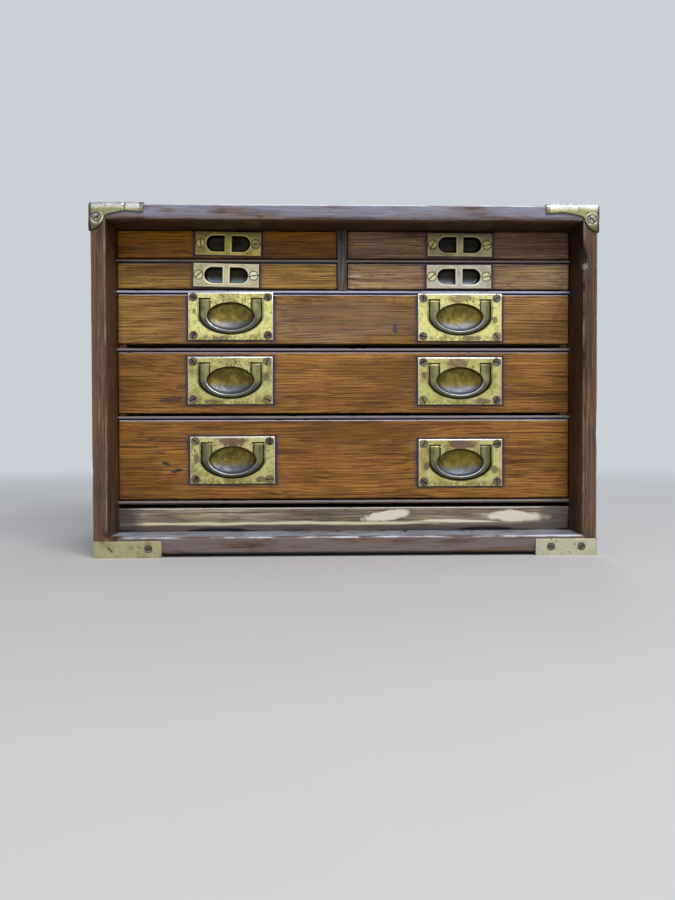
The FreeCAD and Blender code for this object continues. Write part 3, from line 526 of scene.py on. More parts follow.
def plate_material(name, seed, x, z, stain, light, cover, blots):
    """Handle plate: bright cast brass, stained above the cup, with tarnish in the cup, painted shade in the
    grooves and under the cup's upper edge, a painted bluish reflection in the cup's lower part with a
    painted highlight at its lower edge, and a painted highlight along the plate's top edge.
    """
    def wear_and_light(shader):
        coat, noise = shader.coat, shader.noise
        dx, dz = shader.x - x, shader.z - z
        depth = shader.y - PLATE_FACE_Y
        coat(shader.spot(x, z + 19.2, 13, 6.5, 0.7) * stain, (0.19, 0.1, 0.085))
        around = distance(dx / 40, (dz - 2) / 24).fade(1.05, 0.75)
        specks = noise(0.62, 2.0, 0.7).fade(0.53, 0.6) * noise(0.07).fade(0.42, 0.54)
        coat(specks * around * 0.9, (0.07, 0.05, 0.02))
        freckles = noise(0.24, 4.0, 0.65).fade(0.54, 0.66)
        coat(freckles * 0.45, (0.23, 0.15, 0.11))
        for blot_x, blot_z, reach_x, reach_z in blots:
            coat(shader.spot(x + blot_x, z + blot_z, reach_x, reach_z) * 0.7, (0.14, 0.08, 0.07))
        side = abs(dx) / (BAIL_HALF_W + GROOVE_GAP)
        foot = (dz - BAIL_SPRING).least(0.0) / (BAIL_SPRING + BAIL_LOW + GROOVE_GAP)
        beyond = distance(side, foot) - 1.0
        # Painted shadow round the outside of the bail's groove, heaviest below.
        groove_rim_shadow = beyond.fade(0.07, 0.038) * beyond.fade(-0.03, -0.015) * dz.fade(BAIL_TOP + 1.6, BAIL_TOP)
        coat(groove_rim_shadow * (dz.fade(4.0, -4.0) * 0.4 + 0.5), SHADOW)
        low = (dz + noise(0.12, 3.0) * 8).fade(-13, -18) * noise(0.3, 3.0).fade(0.42, 0.58)
        coat(low * 0.55, (0.15, 0.11, 0.045))
        end, top = PLATE_HALF[0] - abs(dx), PLATE_HALF[1] - dz
        edge = end.least(PLATE_HALF[1] - abs(dz))
        coat((edge + noise(0.15, 3.0) * 3).fade(3.0, 1.8) * 0.35, PLATE_TARNISH)
        # Painted highlight along the plate's top edge, and fainter along its ends.
        rim_highlight = top.fade(1.9, 1.2).most(end.fade(1.3, 0.8) * 0.5)
        coat(rim_highlight * 0.9, (0.97, 0.97, 0.93))
        screw = distance(abs(dx) - PLATE_SCREW[0], abs(dz) - PLATE_SCREW[1]) - SCREW_R
        coat((screw + noise(0.5) * 0.6).fade(1.1, 0.5) * 0.75, (0.075, 0.058, 0.03))
        oval = distance(dx / CUP_HALF[0], (dz - CUP_Z) / CUP_HALF[1])
        in_cup = depth.fade(0.5, 2.4)
        cup = shader.mix(noise(0.16, 4.0, 0.65).fade(0.38, 0.62), CUP_TARNISH, CUP_BRASS)
        # Painted light in the cup: a bluish reflection in its lower part, a highlight at its lower edge, and
        # shade under its upper edge.
        sky_reflection = (dz + noise(0.1) * 5).fade(2.5, -6.5)
        cup = shader.mix(sky_reflection * 0.88, cup, CUP_SKY_REFLECTION)
        cup = shader.mix(oval.fade(0.8, 0.97) * dz.fade(-2.0, -8.0) * 0.6, cup, CUP_RIM_HIGHLIGHT)
        cup = shader.mix(oval.fade(0.84, 0.98) * dz.fade(1.0, 7.0) * 0.48, cup, CUP_SHADE)
        coat(in_cup * 0.95, cup)
        # Painted shade in the grooves.
        groove = depth.fade(0.45, 1.3) * oval.fade(1.005, 1.03)
        coat(groove * 0.95, SHADOW)
        shader.rough = shader.rough + in_cup * 0.18

    bright = tuple(channel * light for channel in BRIGHT_BRASS)
    return metal(name, seed, bright, PLATE_TARNISH, cover, 0.75, 0.27, wear_and_light)


def bail_shade_and_highlights(x, z):
    """Bail: painted shade on its sides in the groove, darker on its lower loop, a painted highlight up each
    leg, and a painted bluish highlight along its inner edge below the cup.
    """
    def wear_and_light(shader):
        dx, dz = shader.x - x, shader.z - z
        depth = shader.y - PLATE_FACE_Y
        oval = distance(dx / CUP_HALF[0], (dz - CUP_Z) / CUP_HALF[1])
        below = dz.fade(1.0, -5.0)
        # Painted shade on the bail's sides down in the groove.
        bail_side_shade = depth.fade(0.7, 1.6) * (1.0 - below * oval.fade(1.14, 1.04))
        shader.coat(bail_side_shade * 0.8, (0.026, 0.022, 0.016))
        shader.coat(below * 0.55, (0.06, 0.066, 0.06))
        # Painted highlight up each leg.
        leg_highlight = (BAIL_LEG_IN + 7.5 - abs(dx)).fade(0.0, 4.0) * dz.fade(-2.0, 4.0)
        shader.coat(leg_highlight * 0.28, (0.48, 0.465, 0.24))
        # Painted bluish highlight along the inner edge below the cup.
        bright = below * oval.fade(1.07, 1.035) * depth.fade(2.4, 1.4)
        shader.coat(bright * 0.75, (0.64, 0.7, 0.82))

    return wear_and_light


def pull_material(name, seed, x, z, tilt, bright, tarnish, pan_painted_light):
    """Finger pull: satin plate, polished lips round the two holes, and a pan behind them, dark at its top
    with patina and painted shade, and below in a tone of painted light set for each pull.
    """
    def brighter(share):
        return tuple(min(0.96, channel * share) for channel in bright)

    def wear_and_light(shader):
        coat, noise = shader.coat, shader.noise
        turn = math.radians(tilt)
        level_x, level_z = shader.x - x, shader.z - z
        dx = level_x * math.cos(turn) - level_z * math.sin(turn)
        dz = level_x * math.sin(turn) + level_z * math.cos(turn)
        beyond = (abs(dx) - (PULL_HOLE_HALF_W - PULL_HOLE_R)).most(0.0)
        lip = (distance(beyond, dz) - PULL_HOLE_R).most(PULL_BAR_HALF - abs(dx))
        coat(abs(lip - 0.45).fade(1.3, 0.6) * 0.85, brighter(1.5))
        edge = (PULL_HALF[0] - 0.2 - abs(dx)).least(PULL_HALF[1] - 0.2 - abs(dz))
        coat(edge.fade(1.3, 0.6) * 0.6, brighter(1.45))
        screw = distance(abs(dx) - PULL_SCREW_X, dz) - SCREW_R
        coat((screw + noise(0.5) * 0.8).fade(1.9, 1.1) * 0.88, (0.036, 0.03, 0.018))
        coat(noise((1.6, 1.0, 0.35)).fade(0.4, 0.62) * 0.22, tarnish)
        # The pan: dark at its top with patina and painted shade, and below in the pull's tone of painted
        # light.
        inside = (shader.y - PULL_FACE_Y).fade(1.2, 2.8)
        coat(inside * 0.97, shader.mix(dz.fade(1.0, -6.5), (0.018, 0.016, 0.014), pan_painted_light))
        shader.rough = shader.rough + inside * 0.12

    return metal(name, seed, bright, tarnish, (0.42, 0.68), 0.4, 0.3, wear_and_light)


def cap_wear_and_light(shader):
    """Corner brass: a painted highlight along the top of the caps that fades through olive to dark painted
    shade below, dark round the screws, and painted shade on the outside, most on the left.
    """
    coat, noise = shader.coat, shader.noise
    x, z = abs(shader.x), shader.z
    upper = z.fade(150, 300)
    # Painted light on the caps' arms: a highlight along the top, fading through olive to painted shade
    # below.
    down = TOP_Z + CAP_T - z + noise(0.11, 3.0) * 5 - 2.5
    coat(down.fade(8.0, 4.0) * upper * 0.9, (0.8, 0.825, 0.815))
    coat(down.fade(6.0, 9.5) * upper * 0.85, (0.296, 0.302, 0.146))
    coat(down.fade(18.0, 26.0) * upper * 0.9, (0.1, 0.098, 0.044))
    coat((x - CAP_END + noise(0.4) * 2).fade(2.6, 1.4) * upper * 0.6, (0.09, 0.088, 0.05))
    blotch = noise(0.14).fade(0.55, 0.66) * upper
    coat(blotch * 0.65, (0.15, 0.145, 0.07))
    # Painted shade on the outer side and round the outer edge, most on the left.
    inwards = OUTER_X + CAP_T - x
    outer = inwards.fade(5.0, 1.6) * upper * shader.x.fade(30, -30)
    coat(outer.most(inwards.fade(3.2, 1.0) * upper * 0.7) * 0.8, (0.085, 0.088, 0.048))
    screw = distance(x - (OUTER_X - CAP_SCREW[0]), z - (TOP_Z - CAP_SCREW[1])) - SCREW_R
    front = (shader.y - FRONT_Y).fade(-0.5, -1.2)
    ring = screw.fade(2.6, 1.9) * screw.fade(0.5, 0.9) * front * noise(0.16).fade(0.4, 0.6)
    coat(ring * 0.8, (0.9, 0.89, 0.68))
    coat(screw.fade(1.1, 0.5) * front * 0.9, SHADOW)
    bend = abs(shader.x + CAP_CREASE) + noise(0.3) * 2
    coat(bend.fade(2.4, 1.4) * z.fade(330, 340) * 0.6, (0.13, 0.115, 0.045))
    coat(shader.x.fade(0, 10) * z.fade(150, 100) * 0.5, (0.86, 0.87, 0.7))
    coat(noise(0.22, 3.0).fade(0.6, 0.7) * z.fade(30, 20) * 0.6, (0.12, 0.095, 0.05))


def slot_dirt_and_shade(depth_of, other):
    """Screws: some are nearer another tone, and dirt and painted shade lie depth_of(shader) below their
    heads.
    """
    def wear_and_light(shader):
        shader.coat(shader.noise(0.022, 0.0).fade(0.46, 0.54) * 0.75, other)
        # Painted shade: screws above z 305, in the upper row under the top board, are darker.
        shader.coat(shader.z.fade(302, 308), (0.62, 0.58, 0.34), "MULTIPLY")
        # Dirt and painted shade in the slots.
        shader.coat(depth_of(shader).fade(0.12, 0.45) * 0.93, SHADOW)

    return wear_and_light


def corner_depth(shader):
    """Depth below the heads of the screws in the corners, whichever way they face."""
    x, z = abs(shader.x), shader.z
    outer = z.fade(100, 200) * (CAP_T - FOOT_PROUD) + (OUTER_X + FOOT_PROUD)
    return (outer - x).least(shader.y - (FRONT_Y - CAP_T), (BACK_Y + CAP_T) - shader.y, (TOP_Z + CAP_T) - z)


def corner_screw_wear(shader):
    """Steel screws in the feet, mottled ones in the caps, and one of brass in the left foot."""
    foot = distance(shader.x + BRASS_SCREW[0], shader.z - BRASS_SCREW[1]).fade(6, 5)
    upper = shader.z.fade(150, 300) * 0.8
    cloud = shader.noise(0.45, 3.0, 0.65).fade(0.44, 0.58)
    mottled = shader.mix(cloud, (0.5, 0.495, 0.44), (0.12, 0.115, 0.1))
    slot_dirt_and_shade(corner_depth, (0.2, 0.18, 0.15))(shader)
    head = 1.0 - corner_depth(shader).fade(0.12, 0.45)
    shader.coat(upper * head, mottled)
    shader.coat(foot * shader.y.fade(-100, -120) * head * 0.85, (0.56, 0.52, 0.29))


# --- Meshes --------------------
class Field:
    """Smooth random field over points in millimetres, from about -1 to 1, with features of a given size."""

    def __init__(self, seed, size, waves=10):
        random = np.random.default_rng(seed)
        direction = random.normal(size=(waves, 3))
        direction /= np.linalg.norm(direction, axis=1)[:, None]
        self.wave = direction * (2 * math.pi / size) * random.uniform(0.55, 1.7, (waves, 1))
        self.phase = random.uniform(0, 2 * math.pi, waves)

    def __call__(self, points):
        return np.sin(points @ self.wave.T + self.phase).sum(1) * 0.7 / math.sqrt(len(self.phase) / 2)


def spread(low, high, edge, reach, middle):
    """Places from low to high: close together within reach of either end, further apart between."""
    near = np.arange(0.0, reach + edge / 2, edge)
    inner_low, inner_high = low + near[-1], high - near[-1]
    count = max(1, int(round((inner_high - inner_low) / middle)))
    between = np.linspace(inner_low, inner_high, count + 1)[1:-1]
    return np.concatenate([low + near, between, (high - near)[::-1]])


def grid_box(places):
    """(points, quads) of a closed box with vertices at the given places along X, Y and Z."""
    number, points, quads = {}, [], []

    def vertex(key):
        if key not in number:
            number[key] = len(points)
            points.append([places[axis][key[axis]] for axis in range(3)])
        return number[key]

    for axis in range(3):
        u, v = [other for other in range(3) if other != axis]
        for end in (0, len(places[axis]) - 1):
            turned = (end == 0) != (axis == 1)
            for i in range(len(places[u]) - 1):
                for j in range(len(places[v]) - 1):
                    quad = []
                    for du, dv in ((0, 0), (1, 0), (1, 1), (0, 1)):
                        key = [end] * 3
                        key[u], key[v] = i + du, j + dv
                        quad.append(vertex(tuple(key)))
                    quads.append(quad[::-1] if turned else quad)
    return np.array(points, float), quads


def mesh_object(name, points, faces):
    """New object from points in millimetres."""
    mesh = bpy.data.meshes.new(name)
    mesh.from_pydata([tuple(p) for p in np.asarray(points) * MM], [], [tuple(map(int, f)) for f in faces])
    mesh.validate()
    piece = bpy.data.objects.new(name, mesh)
    bpy.context.scene.collection.objects.link(piece)
    return piece


def lofted(points, count):
    """(points, faces) of a closed mesh through rings of so many points each."""
    faces = []
    for start in range(0, len(points) - count, count):
        for k in range(count):
            after = (k + 1) % count
            faces.append((start + k, start + after, start + count + after, start + count + k))
    faces += [tuple(range(count))[::-1], tuple(range(len(points) - count, len(points)))]
    return points, faces


def rework(piece, change):
    """Runs change(bmesh) on a piece's mesh."""
    work = bmesh.new()
    work.from_mesh(piece.data)
    change(work)
    work.to_mesh(piece.data)
    work.free()
    return piece


def consistent(piece):
    """Turns a closed mesh's faces outwards."""
    return rework(piece, lambda work: bmesh.ops.recalc_face_normals(work, faces=work.faces))


def solid_copy(node):
    """Watertight copy of a CAD node's mesh."""
    copy = bpy.data.objects.new(node + "_solid", NODES[node].data.copy())
    bpy.context.scene.collection.objects.link(copy)
    return rework(copy, lambda work: bmesh.ops.remove_doubles(work, verts=work.verts, dist=WELD * MM))


def applied(piece):
    """Bakes the piece's modifiers into its mesh."""
    graph = bpy.context.evaluated_depsgraph_get()
    mesh = bpy.data.meshes.new_from_object(piece.evaluated_get(graph), depsgraph=graph)
    piece.modifiers.clear()
    piece.data = mesh
    return piece


def cut(piece, other, operation):
    """Boolean of the piece with another object, which is used up."""
    modifier = piece.modifiers.new("Boolean", "BOOLEAN")
    modifier.operation, modifier.solver, modifier.object = operation, "MANIFOLD", other
    applied(piece)
    bpy.data.objects.remove(other)
    return piece


def column(items, name, width, kind=float):
    """One property of all of a mesh's items, as an array."""
    values = np.empty(len(items) * width, kind)
    items.foreach_get(name, values)
    return values.reshape(-1, width) if width > 1 else values


def groups(count, first, second):
    """Label for each of so many things, the same for all that pairs (first, second) link together."""
    label = np.arange(count)
    while True:
        least = np.minimum(label[first], label[second])
        if (label[first] == label[second]).all():
            return label
        np.minimum.at(label, first, least)
        np.minimum.at(label, second, least)
        label = label[label]


def shade(mesh):
    """Smooth shading in which each flat face, however many polygons it has, keeps its own normal."""
    normal, area = column(mesh.polygons, "normal", 3), column(mesh.polygons, "area", 1)
    sides = column(mesh.polygons, "loop_total", 1, int)
    face = np.repeat(np.arange(len(sides)), sides)
    start = np.repeat(column(mesh.polygons, "loop_start", 1, int), sides)
    corner = np.arange(len(face))
    after = start + (corner - start + 1) % sides[face]
    edge = column(mesh.loops, "edge_index", 1, int)
    order = np.argsort(edge, kind="stable")
    one, other = order[:-1], order[1:]
    uses = np.bincount(edge, minlength=len(mesh.edges))
    paired = (edge[one] == edge[other]) & (uses[edge[one]] == 2)
    one, other = one[paired], other[paired]
    alike = (normal[face[one]] * normal[face[other]]).sum(1)
    flat = alike > math.cos(FLAT)
    region = groups(len(sides), face[one[flat]], face[other[flat]])
    extent = np.bincount(region, area, len(sides))[region]
    soft = alike > math.cos(SHARP)
    first = np.concatenate([one[soft], after[one[soft]]])
    second = np.concatenate([after[other[soft]], other[soft]])
    fan = groups(len(corner), first, second)
    total = np.zeros((len(corner), 3))
    np.add.at(total, fan, normal[face] * extent[face][:, None])
    total = total[fan]
    sharp = np.ones(len(mesh.edges), bool)
    sharp[edge[one[soft]]] = False
    mesh.shade_smooth()
    mesh.edges.foreach_set("use_edge_sharp", sharp)
    mesh.normals_split_custom_set(total / np.maximum(np.linalg.norm(total, axis=1), 1e-12)[:, None])


def paint(piece, *materials):
    """New materials on a piece, in place of what it had."""
    piece.data.materials.clear()
    for material in materials:
        piece.data.materials.append(material)


def dress(piece, node, ending, body, slot, *materials):
    """Finishes a piece that takes a CAD node's place: name, shading, materials and body. The slot is not
    used.
    """
    piece.name = piece.data.name = node + ending
    paint(piece, *materials)
    shade(piece.data)
    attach(piece, body)
    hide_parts(node)
    return piece


def worn_envelope(low, high, faces_left, places, radius, dent):
    """Box round a board, its arrises rounded by radius(points) and its faces lowered by dent(points)."""
    low, high = np.array(low, float), np.array(high, float)
    for axis in range(3):
        low[axis] += -SPARE if (axis, -1) in faces_left else SKIN
        high[axis] -= -SPARE if (axis, 1) in faces_left else SKIN
    grids = [spread(low[axis], high[axis], *places[axis]) for axis in range(3)]
    points, quads = grid_box(grids)
    round_by = radius(points)[:, None]
    core = np.clip(points, low + round_by, high - round_by)
    out = points - core
    length = np.linalg.norm(out, axis=1)[:, None]
    out = np.divide(out, length, out=np.zeros_like(out), where=length > 0)
    return core + out * np.maximum(round_by - dent(points)[:, None], 0.0), quads


def chips(spots):
    """Depth of hollows at points. Each spot is (centre, reach, depth); reach is a number or one per axis."""
    def depth(points):
        total = np.zeros(len(points))
        for centre, reach, deep in spots:
            away = (points - np.array(centre)) / np.array(reach)
            total += deep * np.exp(-(away ** 2).sum(1))
        return total

    return depth


def press(piece, depth):
    """Moves a mesh's surface inwards by depth(points in millimetres)."""
    points, normals = column(piece.data.vertices, "co", 3), column(piece.data.vertex_normals, "vector", 3)
    points -= normals * depth(points / MM)[:, None] * MM
    piece.data.vertices.foreach_set("co", points.ravel())
    piece.data.update()


def worn(node, body, slot, material, faces_left, places, radius, dent):
    """A CAD node's solid within a worn envelope, which takes the node's place."""
    low, high = box_mm(node)
    points, quads = worn_envelope(low, high, faces_left, places, radius, dent)
    piece = cut(mesh_object(node, points, quads), solid_copy(node), "INTERSECT")
    return dress(piece, node, "_worn", body, slot, material)


# --- Carcase --------------------
def edge_noise(seed, base, swing, back=None, spots=()):
    """Arris radius that wanders along the boards, larger at chips. Behind the front it is another radius."""
    slow, quick, chip = Field(seed, 70), Field(seed + 1, 14), chips(spots)

    def radius(points):
        value = base + swing * (0.65 * slow(points) + 0.35 * quick(points))
        if back is not None:
            value = np.where(points[:, 1] > 0, back + 0.2 * slow(points), value)
        return np.clip(value, 0.3, None) + chip(points) * 1.2

    return radius


def board_dents(seed, spots=()):
    """Depth of a board's dents: slight everywhere, with scars here and there and hollows at the spots."""
    slow, quick, chip = Field(seed + 5, 40), Field(seed + 6, 9), chips(spots)

    def depth(points):
        scar = np.clip(slow(points) * quick(points) - 0.35, 0, 1) * 0.35
        return 0.03 + 0.03 * slow(points) + scar + chip(points)

    return depth


CORNER_HOLLOW = ((-237.0, FRONT_Y, 20.5), (7.0, 6.0, 4.0), 3.0)


def chip(x, z, reach_x, reach_z, deep, reach_y=3):
    """A spot for chips() on the carcase's front."""
    return (x, FRONT_Y, z), (reach_x, reach_y, reach_z), deep


CASE_CHIPS = {
    "left_side": (CORNER_HOLLOW, chip(-INNER_X, 180, 2, 30, 0.7)),
    "right_side": (
        chip(INNER_X, 300, 4.5, 8.0, 3.6, 6), chip(INNER_X, 271, 2.5, 4, 1.4),
        chip(INNER_X, 199, 2.5, 5, 1.2), chip(OUTER_X, 130, 2, 14, 0.6),
    ),
    "top_board": (chip(-30, CEILING_Z, 16, 3, 0.9), chip(90, TOP_Z, 9, 3, 0.8)),
    "base_board": (
        CORNER_HOLLOW, chip(-60, LEDGE_Z, 14, 2, 0.9), chip(110, LEDGE_Z, 20, 2, 0.8),
        chip(-150, LEDGE_Z, 30, 2, 0.6), chip(20, LEDGE_Z, 11, 2, 0.7),
    ),
}
# Ends of a solid that a worn envelope leaves as they are, as (axis, side)
ENDS_X, ENDS_Z, BACK = {(0, -1), (0, 1)}, {(2, -1), (2, 1)}, (1, 1)
# Places of an envelope's vertices along an axis: step near the ends, how far that goes, step between
ALONG, ACROSS, DEEP_Y = (2.0, 8, 2.5), (0.5, 4.0, 1.2), (0.5, 5.0, 9.0)


def dress_carcase():
    for node, seed in (("left_side", 11), ("right_side", 23), ("top_board", 37), ("base_board", 41)):
        grain, left, places = "Z", ENDS_Z, (ACROSS, DEEP_Y, ALONG)
        if node.endswith("board"):
            grain, left, places = "X", ENDS_X, (ALONG, DEEP_Y, ACROSS)
        spots = CASE_CHIPS[node]
        radius = edge_noise(seed, 2.3, 0.6, 0.8, spots)
        material = case_material(node, seed, grain)
        worn(node, "carcase", "case_oak", material, left, places, radius, board_dents(seed, spots))

    dark = plain_wood("divider_oak", 53, "Z", DIVIDER_OAK, 0.5)
    places = ((0.5, 3.0, 1.5), (0.5, 3.0, 12), (2, 4, 2.5))
    radius = edge_noise(57, 1.4, 0.4)
    worn("centre_divider", "carcase", "case_oak", dark, ENDS_Z | {BACK}, places, radius, board_dents(57))

    rail = plain_wood("rail_oak", 61, "X", BARE_OAK, 0.62, rail_wear_and_light)
    slow, quick = Field(63, 55), Field(64, 18)

    def rail_radius(points):
        low = np.clip(3.4 + 1.8 * slow(points) + 0.6 * quick(points), 1.0, 6.0)
        return np.where(points[:, 2] < LEDGE_Z + RAIL_LOW, low, 0.9 + 0.3 * quick(points))

    places = ((2, 4, 2.0), (0.6, 7, 3), (0.6, 9, 1.2))
    left = ENDS_X | {BACK, (2, -1)}
    worn("base_rail", "carcase", "bare_rail", rail, left, places, rail_radius, board_dents(61))

    blade = plain_wood("blade_oak", 71, "X", BLADE_OAK, 0.42, nose_highlight_and_shade)
    places = ((2, 4, 2.0), (0.4, 4, 12), (0.4, 1.6, 0.4))
    for seed, node in zip(range(80, 122, 7), BLADES):
        radius = edge_noise(seed, 1.92, 0.05)
        worn(node, "carcase", "blade_oak", blade, ENDS_X | {BACK}, places, radius, board_dents(seed))

    paint(NODES["back_panel"], plain_wood("back_oak", 97, "Z", BACK_OAK, 0.7))


# --- Drawers --------------------
MARK, SCRATCH = (0.03, 0.026, 0.034), (0.42, 0.37, 0.33)
# Marks on the fronts, as (x, z, reach in x, reach in z, amount, tone, lean)
FRONT_MARKS = {
    "deep_drawer_front": (
        (-189, 92.5, 4.0, 2.2, 0.9, MARK, -0.3), (-178, 85.0, 7.0, 1.9, 0.9, MARK, 0.25),
        (-205, 118, 6, 1.6, 0.6, MARK, 0.1), (-196, 104, 7, 1.8, 0.5, MARK, 0.0),
    ),
    "middle_drawer_front": (
        (-183, 160.2, 12, 3.2, 0.75, (0.06, 0.038, 0.024), 0.1), (-170, 174, 8, 2.4, 0.5, MARK, 0.3),
    ),
    "shallow_drawer_front": (
        (-10, 244, 95, 22, 0.22, (0.17, 0.15, 0.15), 0.0),
        (53, 233.3, 2.6, 6.0, 0.95, (0.055, 0.052, 0.075), 0.0),
    ),
    "lower_right_drawer_front": ((11, 290.1, 8, 1.0, 0.95, SCRATCH, 0.0),),
}
# Darker parts of the fronts, as (x, z, reach in x, reach in z, amount)
FRONT_SHADES = {
    "deep_drawer_front": ((0, 125, 90, 14, 0.5), (-210, 80, 30, 20, 0.3)),
    "middle_drawer_front": ((40, 190, 120, 16, 0.55), (-190, 195, 50, 10, 0.3)),
    "shallow_drawer_front": ((-10, 250, 75, 16, 0.3), (190, 245, 40, 20, 0.1)),
    "lower_left_drawer_front": ((-190, 296, 50, 6, 0.4),),
    "upper_left_drawer_front": ((-60, 322, 60, 10, 0.3),),
    "upper_right_drawer_front": ((190, 324, 40, 12, 0.45),),
}
# Hollows in the fronts, as (centre, reach, depth)
FRONT_DENTS = {
    "deep_drawer_front": [
        ((-189, DRAWER_Y, 92.5), (3, 3, 2), 0.8), ((-178, DRAWER_Y, 85), (5, 3, 1.6), 0.8),
    ],
    "shallow_drawer_front": [((53, DRAWER_Y, 233.3), (2.0, 3, 4.5), 0.9)],
    "lower_right_drawer_front": [((12, DRAWER_Y, 290.1), (5, 3, 0.7), 0.3)],
}
# Seed, tones and strength of the painted highlight on the upper arris of each drawer's front
LARGE = {
    "deep": (101, oak(0.238, 0.106, 0.022), 1.0),
    "middle": (131, oak(0.24, 0.11, 0.024), 0.6),
    "shallow": (157, oak(0.256, 0.132, 0.038), 0.9),
}
SMALL = {
    "lower_left": (181, oak(0.266, 0.146, 0.034), 0.35),
    "lower_right": (197, oak(0.28, 0.176, 0.092), 0.35),
    "upper_left": (211, oak(0.245, 0.095, 0.005), 0.0),
    "upper_right": (229, oak(0.215, 0.118, 0.066), 0.0),
}


def worn_front(drawer, seed, tones, arris_highlight, plates):
    node = drawer + "_drawer_front"
    material = front_material(node, seed, tones, plates, arris_highlight)
    places = ((0.5, 3, 2.0), (0.5, 2.5, 3), (0.4, 3, 1.2))
    radius, dents = edge_noise(seed, 1.25, 0.25), board_dents(seed, FRONT_DENTS.get(node, ()))
    return worn(node, drawer + "_drawer", "front_oak", material, {BACK}, places, radius, dents)


def plate_centre(drawer, side):
    low, high = box_mm(f"{drawer}_bail_{side}")
    return float(low[0] + high[0]) / 2, float(low[2]) + BAIL_LOW


def rings(levels, x, z):
    """Closed mesh through rings of ovals: each level is (half width, half height, y)."""
    turns = np.linspace(0, 2 * math.pi, OVAL_STEPS, endpoint=False)
    corners = list(zip(np.cos(turns), np.sin(turns)))
    return lofted([(x + w * c, y, z + h * s) for w, h, y in levels for c, s in corners], OVAL_STEPS)


def rounded_cup(x, z):
    """(filling, bowl): what closes the square bottom of a cup, and the rounded hollow that then goes in."""
    def level(beyond, y):
        return CUP_HALF[0] + beyond, CUP_HALF[1] + beyond, y

    floor = PLATE_FACE_Y + CUP_DEPTH
    start = PLATE_FACE_Y + GROOVE_DEPTH - 1.2
    levels = [level(0.02, PLATE_FACE_Y - 2), level(0.02, start - 0.3)]
    for turn in np.linspace(0, 86, 22):
        lean = math.radians(turn)
        across = math.cos(lean) ** 0.9
        levels.append((CUP_HALF[0] * across, CUP_HALF[1] * across, start + (floor - start) * math.sin(lean)))
    return rings([level(0.4, start), level(0.4, floor + 0.8)], x, z), rings(levels, x, z)


def bail_mesh(x, z):
    """Bail as a loop of soft-cornered sections between its outer and inner outlines."""
    pairs = []
    for height in (*np.linspace(BAIL_TOP, 15.2, 9), *np.linspace(14.0, BAIL_SPRING, 12)):
        reach = 1 - ((height - CUP_Z) / CUP_HALF[1]) ** 2
        inner = max(BAIL_LEG_IN, CUP_HALF[0] * math.sqrt(reach) if reach > 0 else 0)
        pairs.append(((-BAIL_HALF_W, height), (-inner, height)))
    for turn in np.linspace(4, 90, 22):
        c, s = math.cos(math.radians(turn)), math.sin(math.radians(turn))
        outer = (-BAIL_HALF_W * c, BAIL_SPRING - (BAIL_SPRING + BAIL_LOW) * s)
        pairs.append((outer, (-CUP_HALF[0] * c, CUP_Z - CUP_HALF[1] * s)))
    pairs += [((-o[0], o[1]), (-i[0], i[1])) for o, i in pairs[-2::-1]]
    points = []
    for (ox, oz), (ix, iz) in pairs:
        above = max(0.0, oz - PIVOT_Z)
        half_t = max(0.25, math.sqrt(max(0.0, (BAIL_T / 2) ** 2 - above ** 2)))
        for k in range(BAIL_STEPS):
            turn = 2 * math.pi * k / BAIL_STEPS
            c, s = (math.copysign(abs(w) ** BAIL_CORNER, w) for w in (math.cos(turn), math.sin(turn)))
            across = 0.5 + 0.5 * c
            points.append((x + ox + (ix - ox) * across, AXIS_Y + s * half_t, z + oz + (iz - oz) * across))
    return lofted(points, BAIL_STEPS)


def pin_mesh(low, high, z):
    """Short round pin along X with softened ends."""
    points = []
    for r, x in ((PIVOT_R * 0.75, low), (PIVOT_R, low + 0.3), (PIVOT_R, high - 0.3), (PIVOT_R * 0.75, high)):
        for k in range(PIN_STEPS):
            turn = 2 * math.pi * k / PIN_STEPS
            points.append((x, AXIS_Y + r * math.cos(turn), z + r * math.sin(turn)))
    return lofted(points, PIN_STEPS)


# Stain above each of a drawer's two cups, lightness of its plates, how far tarnish covers them, and the
# blots on each plate, as (x, z, reach in x, reach in z) from the plate's middle
PLATES = {
    "deep": ((0.85, 0.9), 0.88, (0.42, 0.66),
             (((-38, 2, 3, 6), (30, -20, 6, 3)), ((36, -7, 4.2, 4.6), (-37, -4, 3, 5)))),
    "middle": ((0.25, 0.75), 0.76, (0.44, 0.68),
               (((-20, -22, 9, 2.5), (38, 4, 3, 5)), ((24, -21, 8, 3), (-38, 6, 3, 4)))),
    "shallow": ((0.35, 0.6), 0.97, (0.5, 0.74),
                (((-10, -23, 10, 2.5), (-38, 5, 2, 3)), ((12, -22, 12, 2.4), (37, -3, 3, 4)))),
}


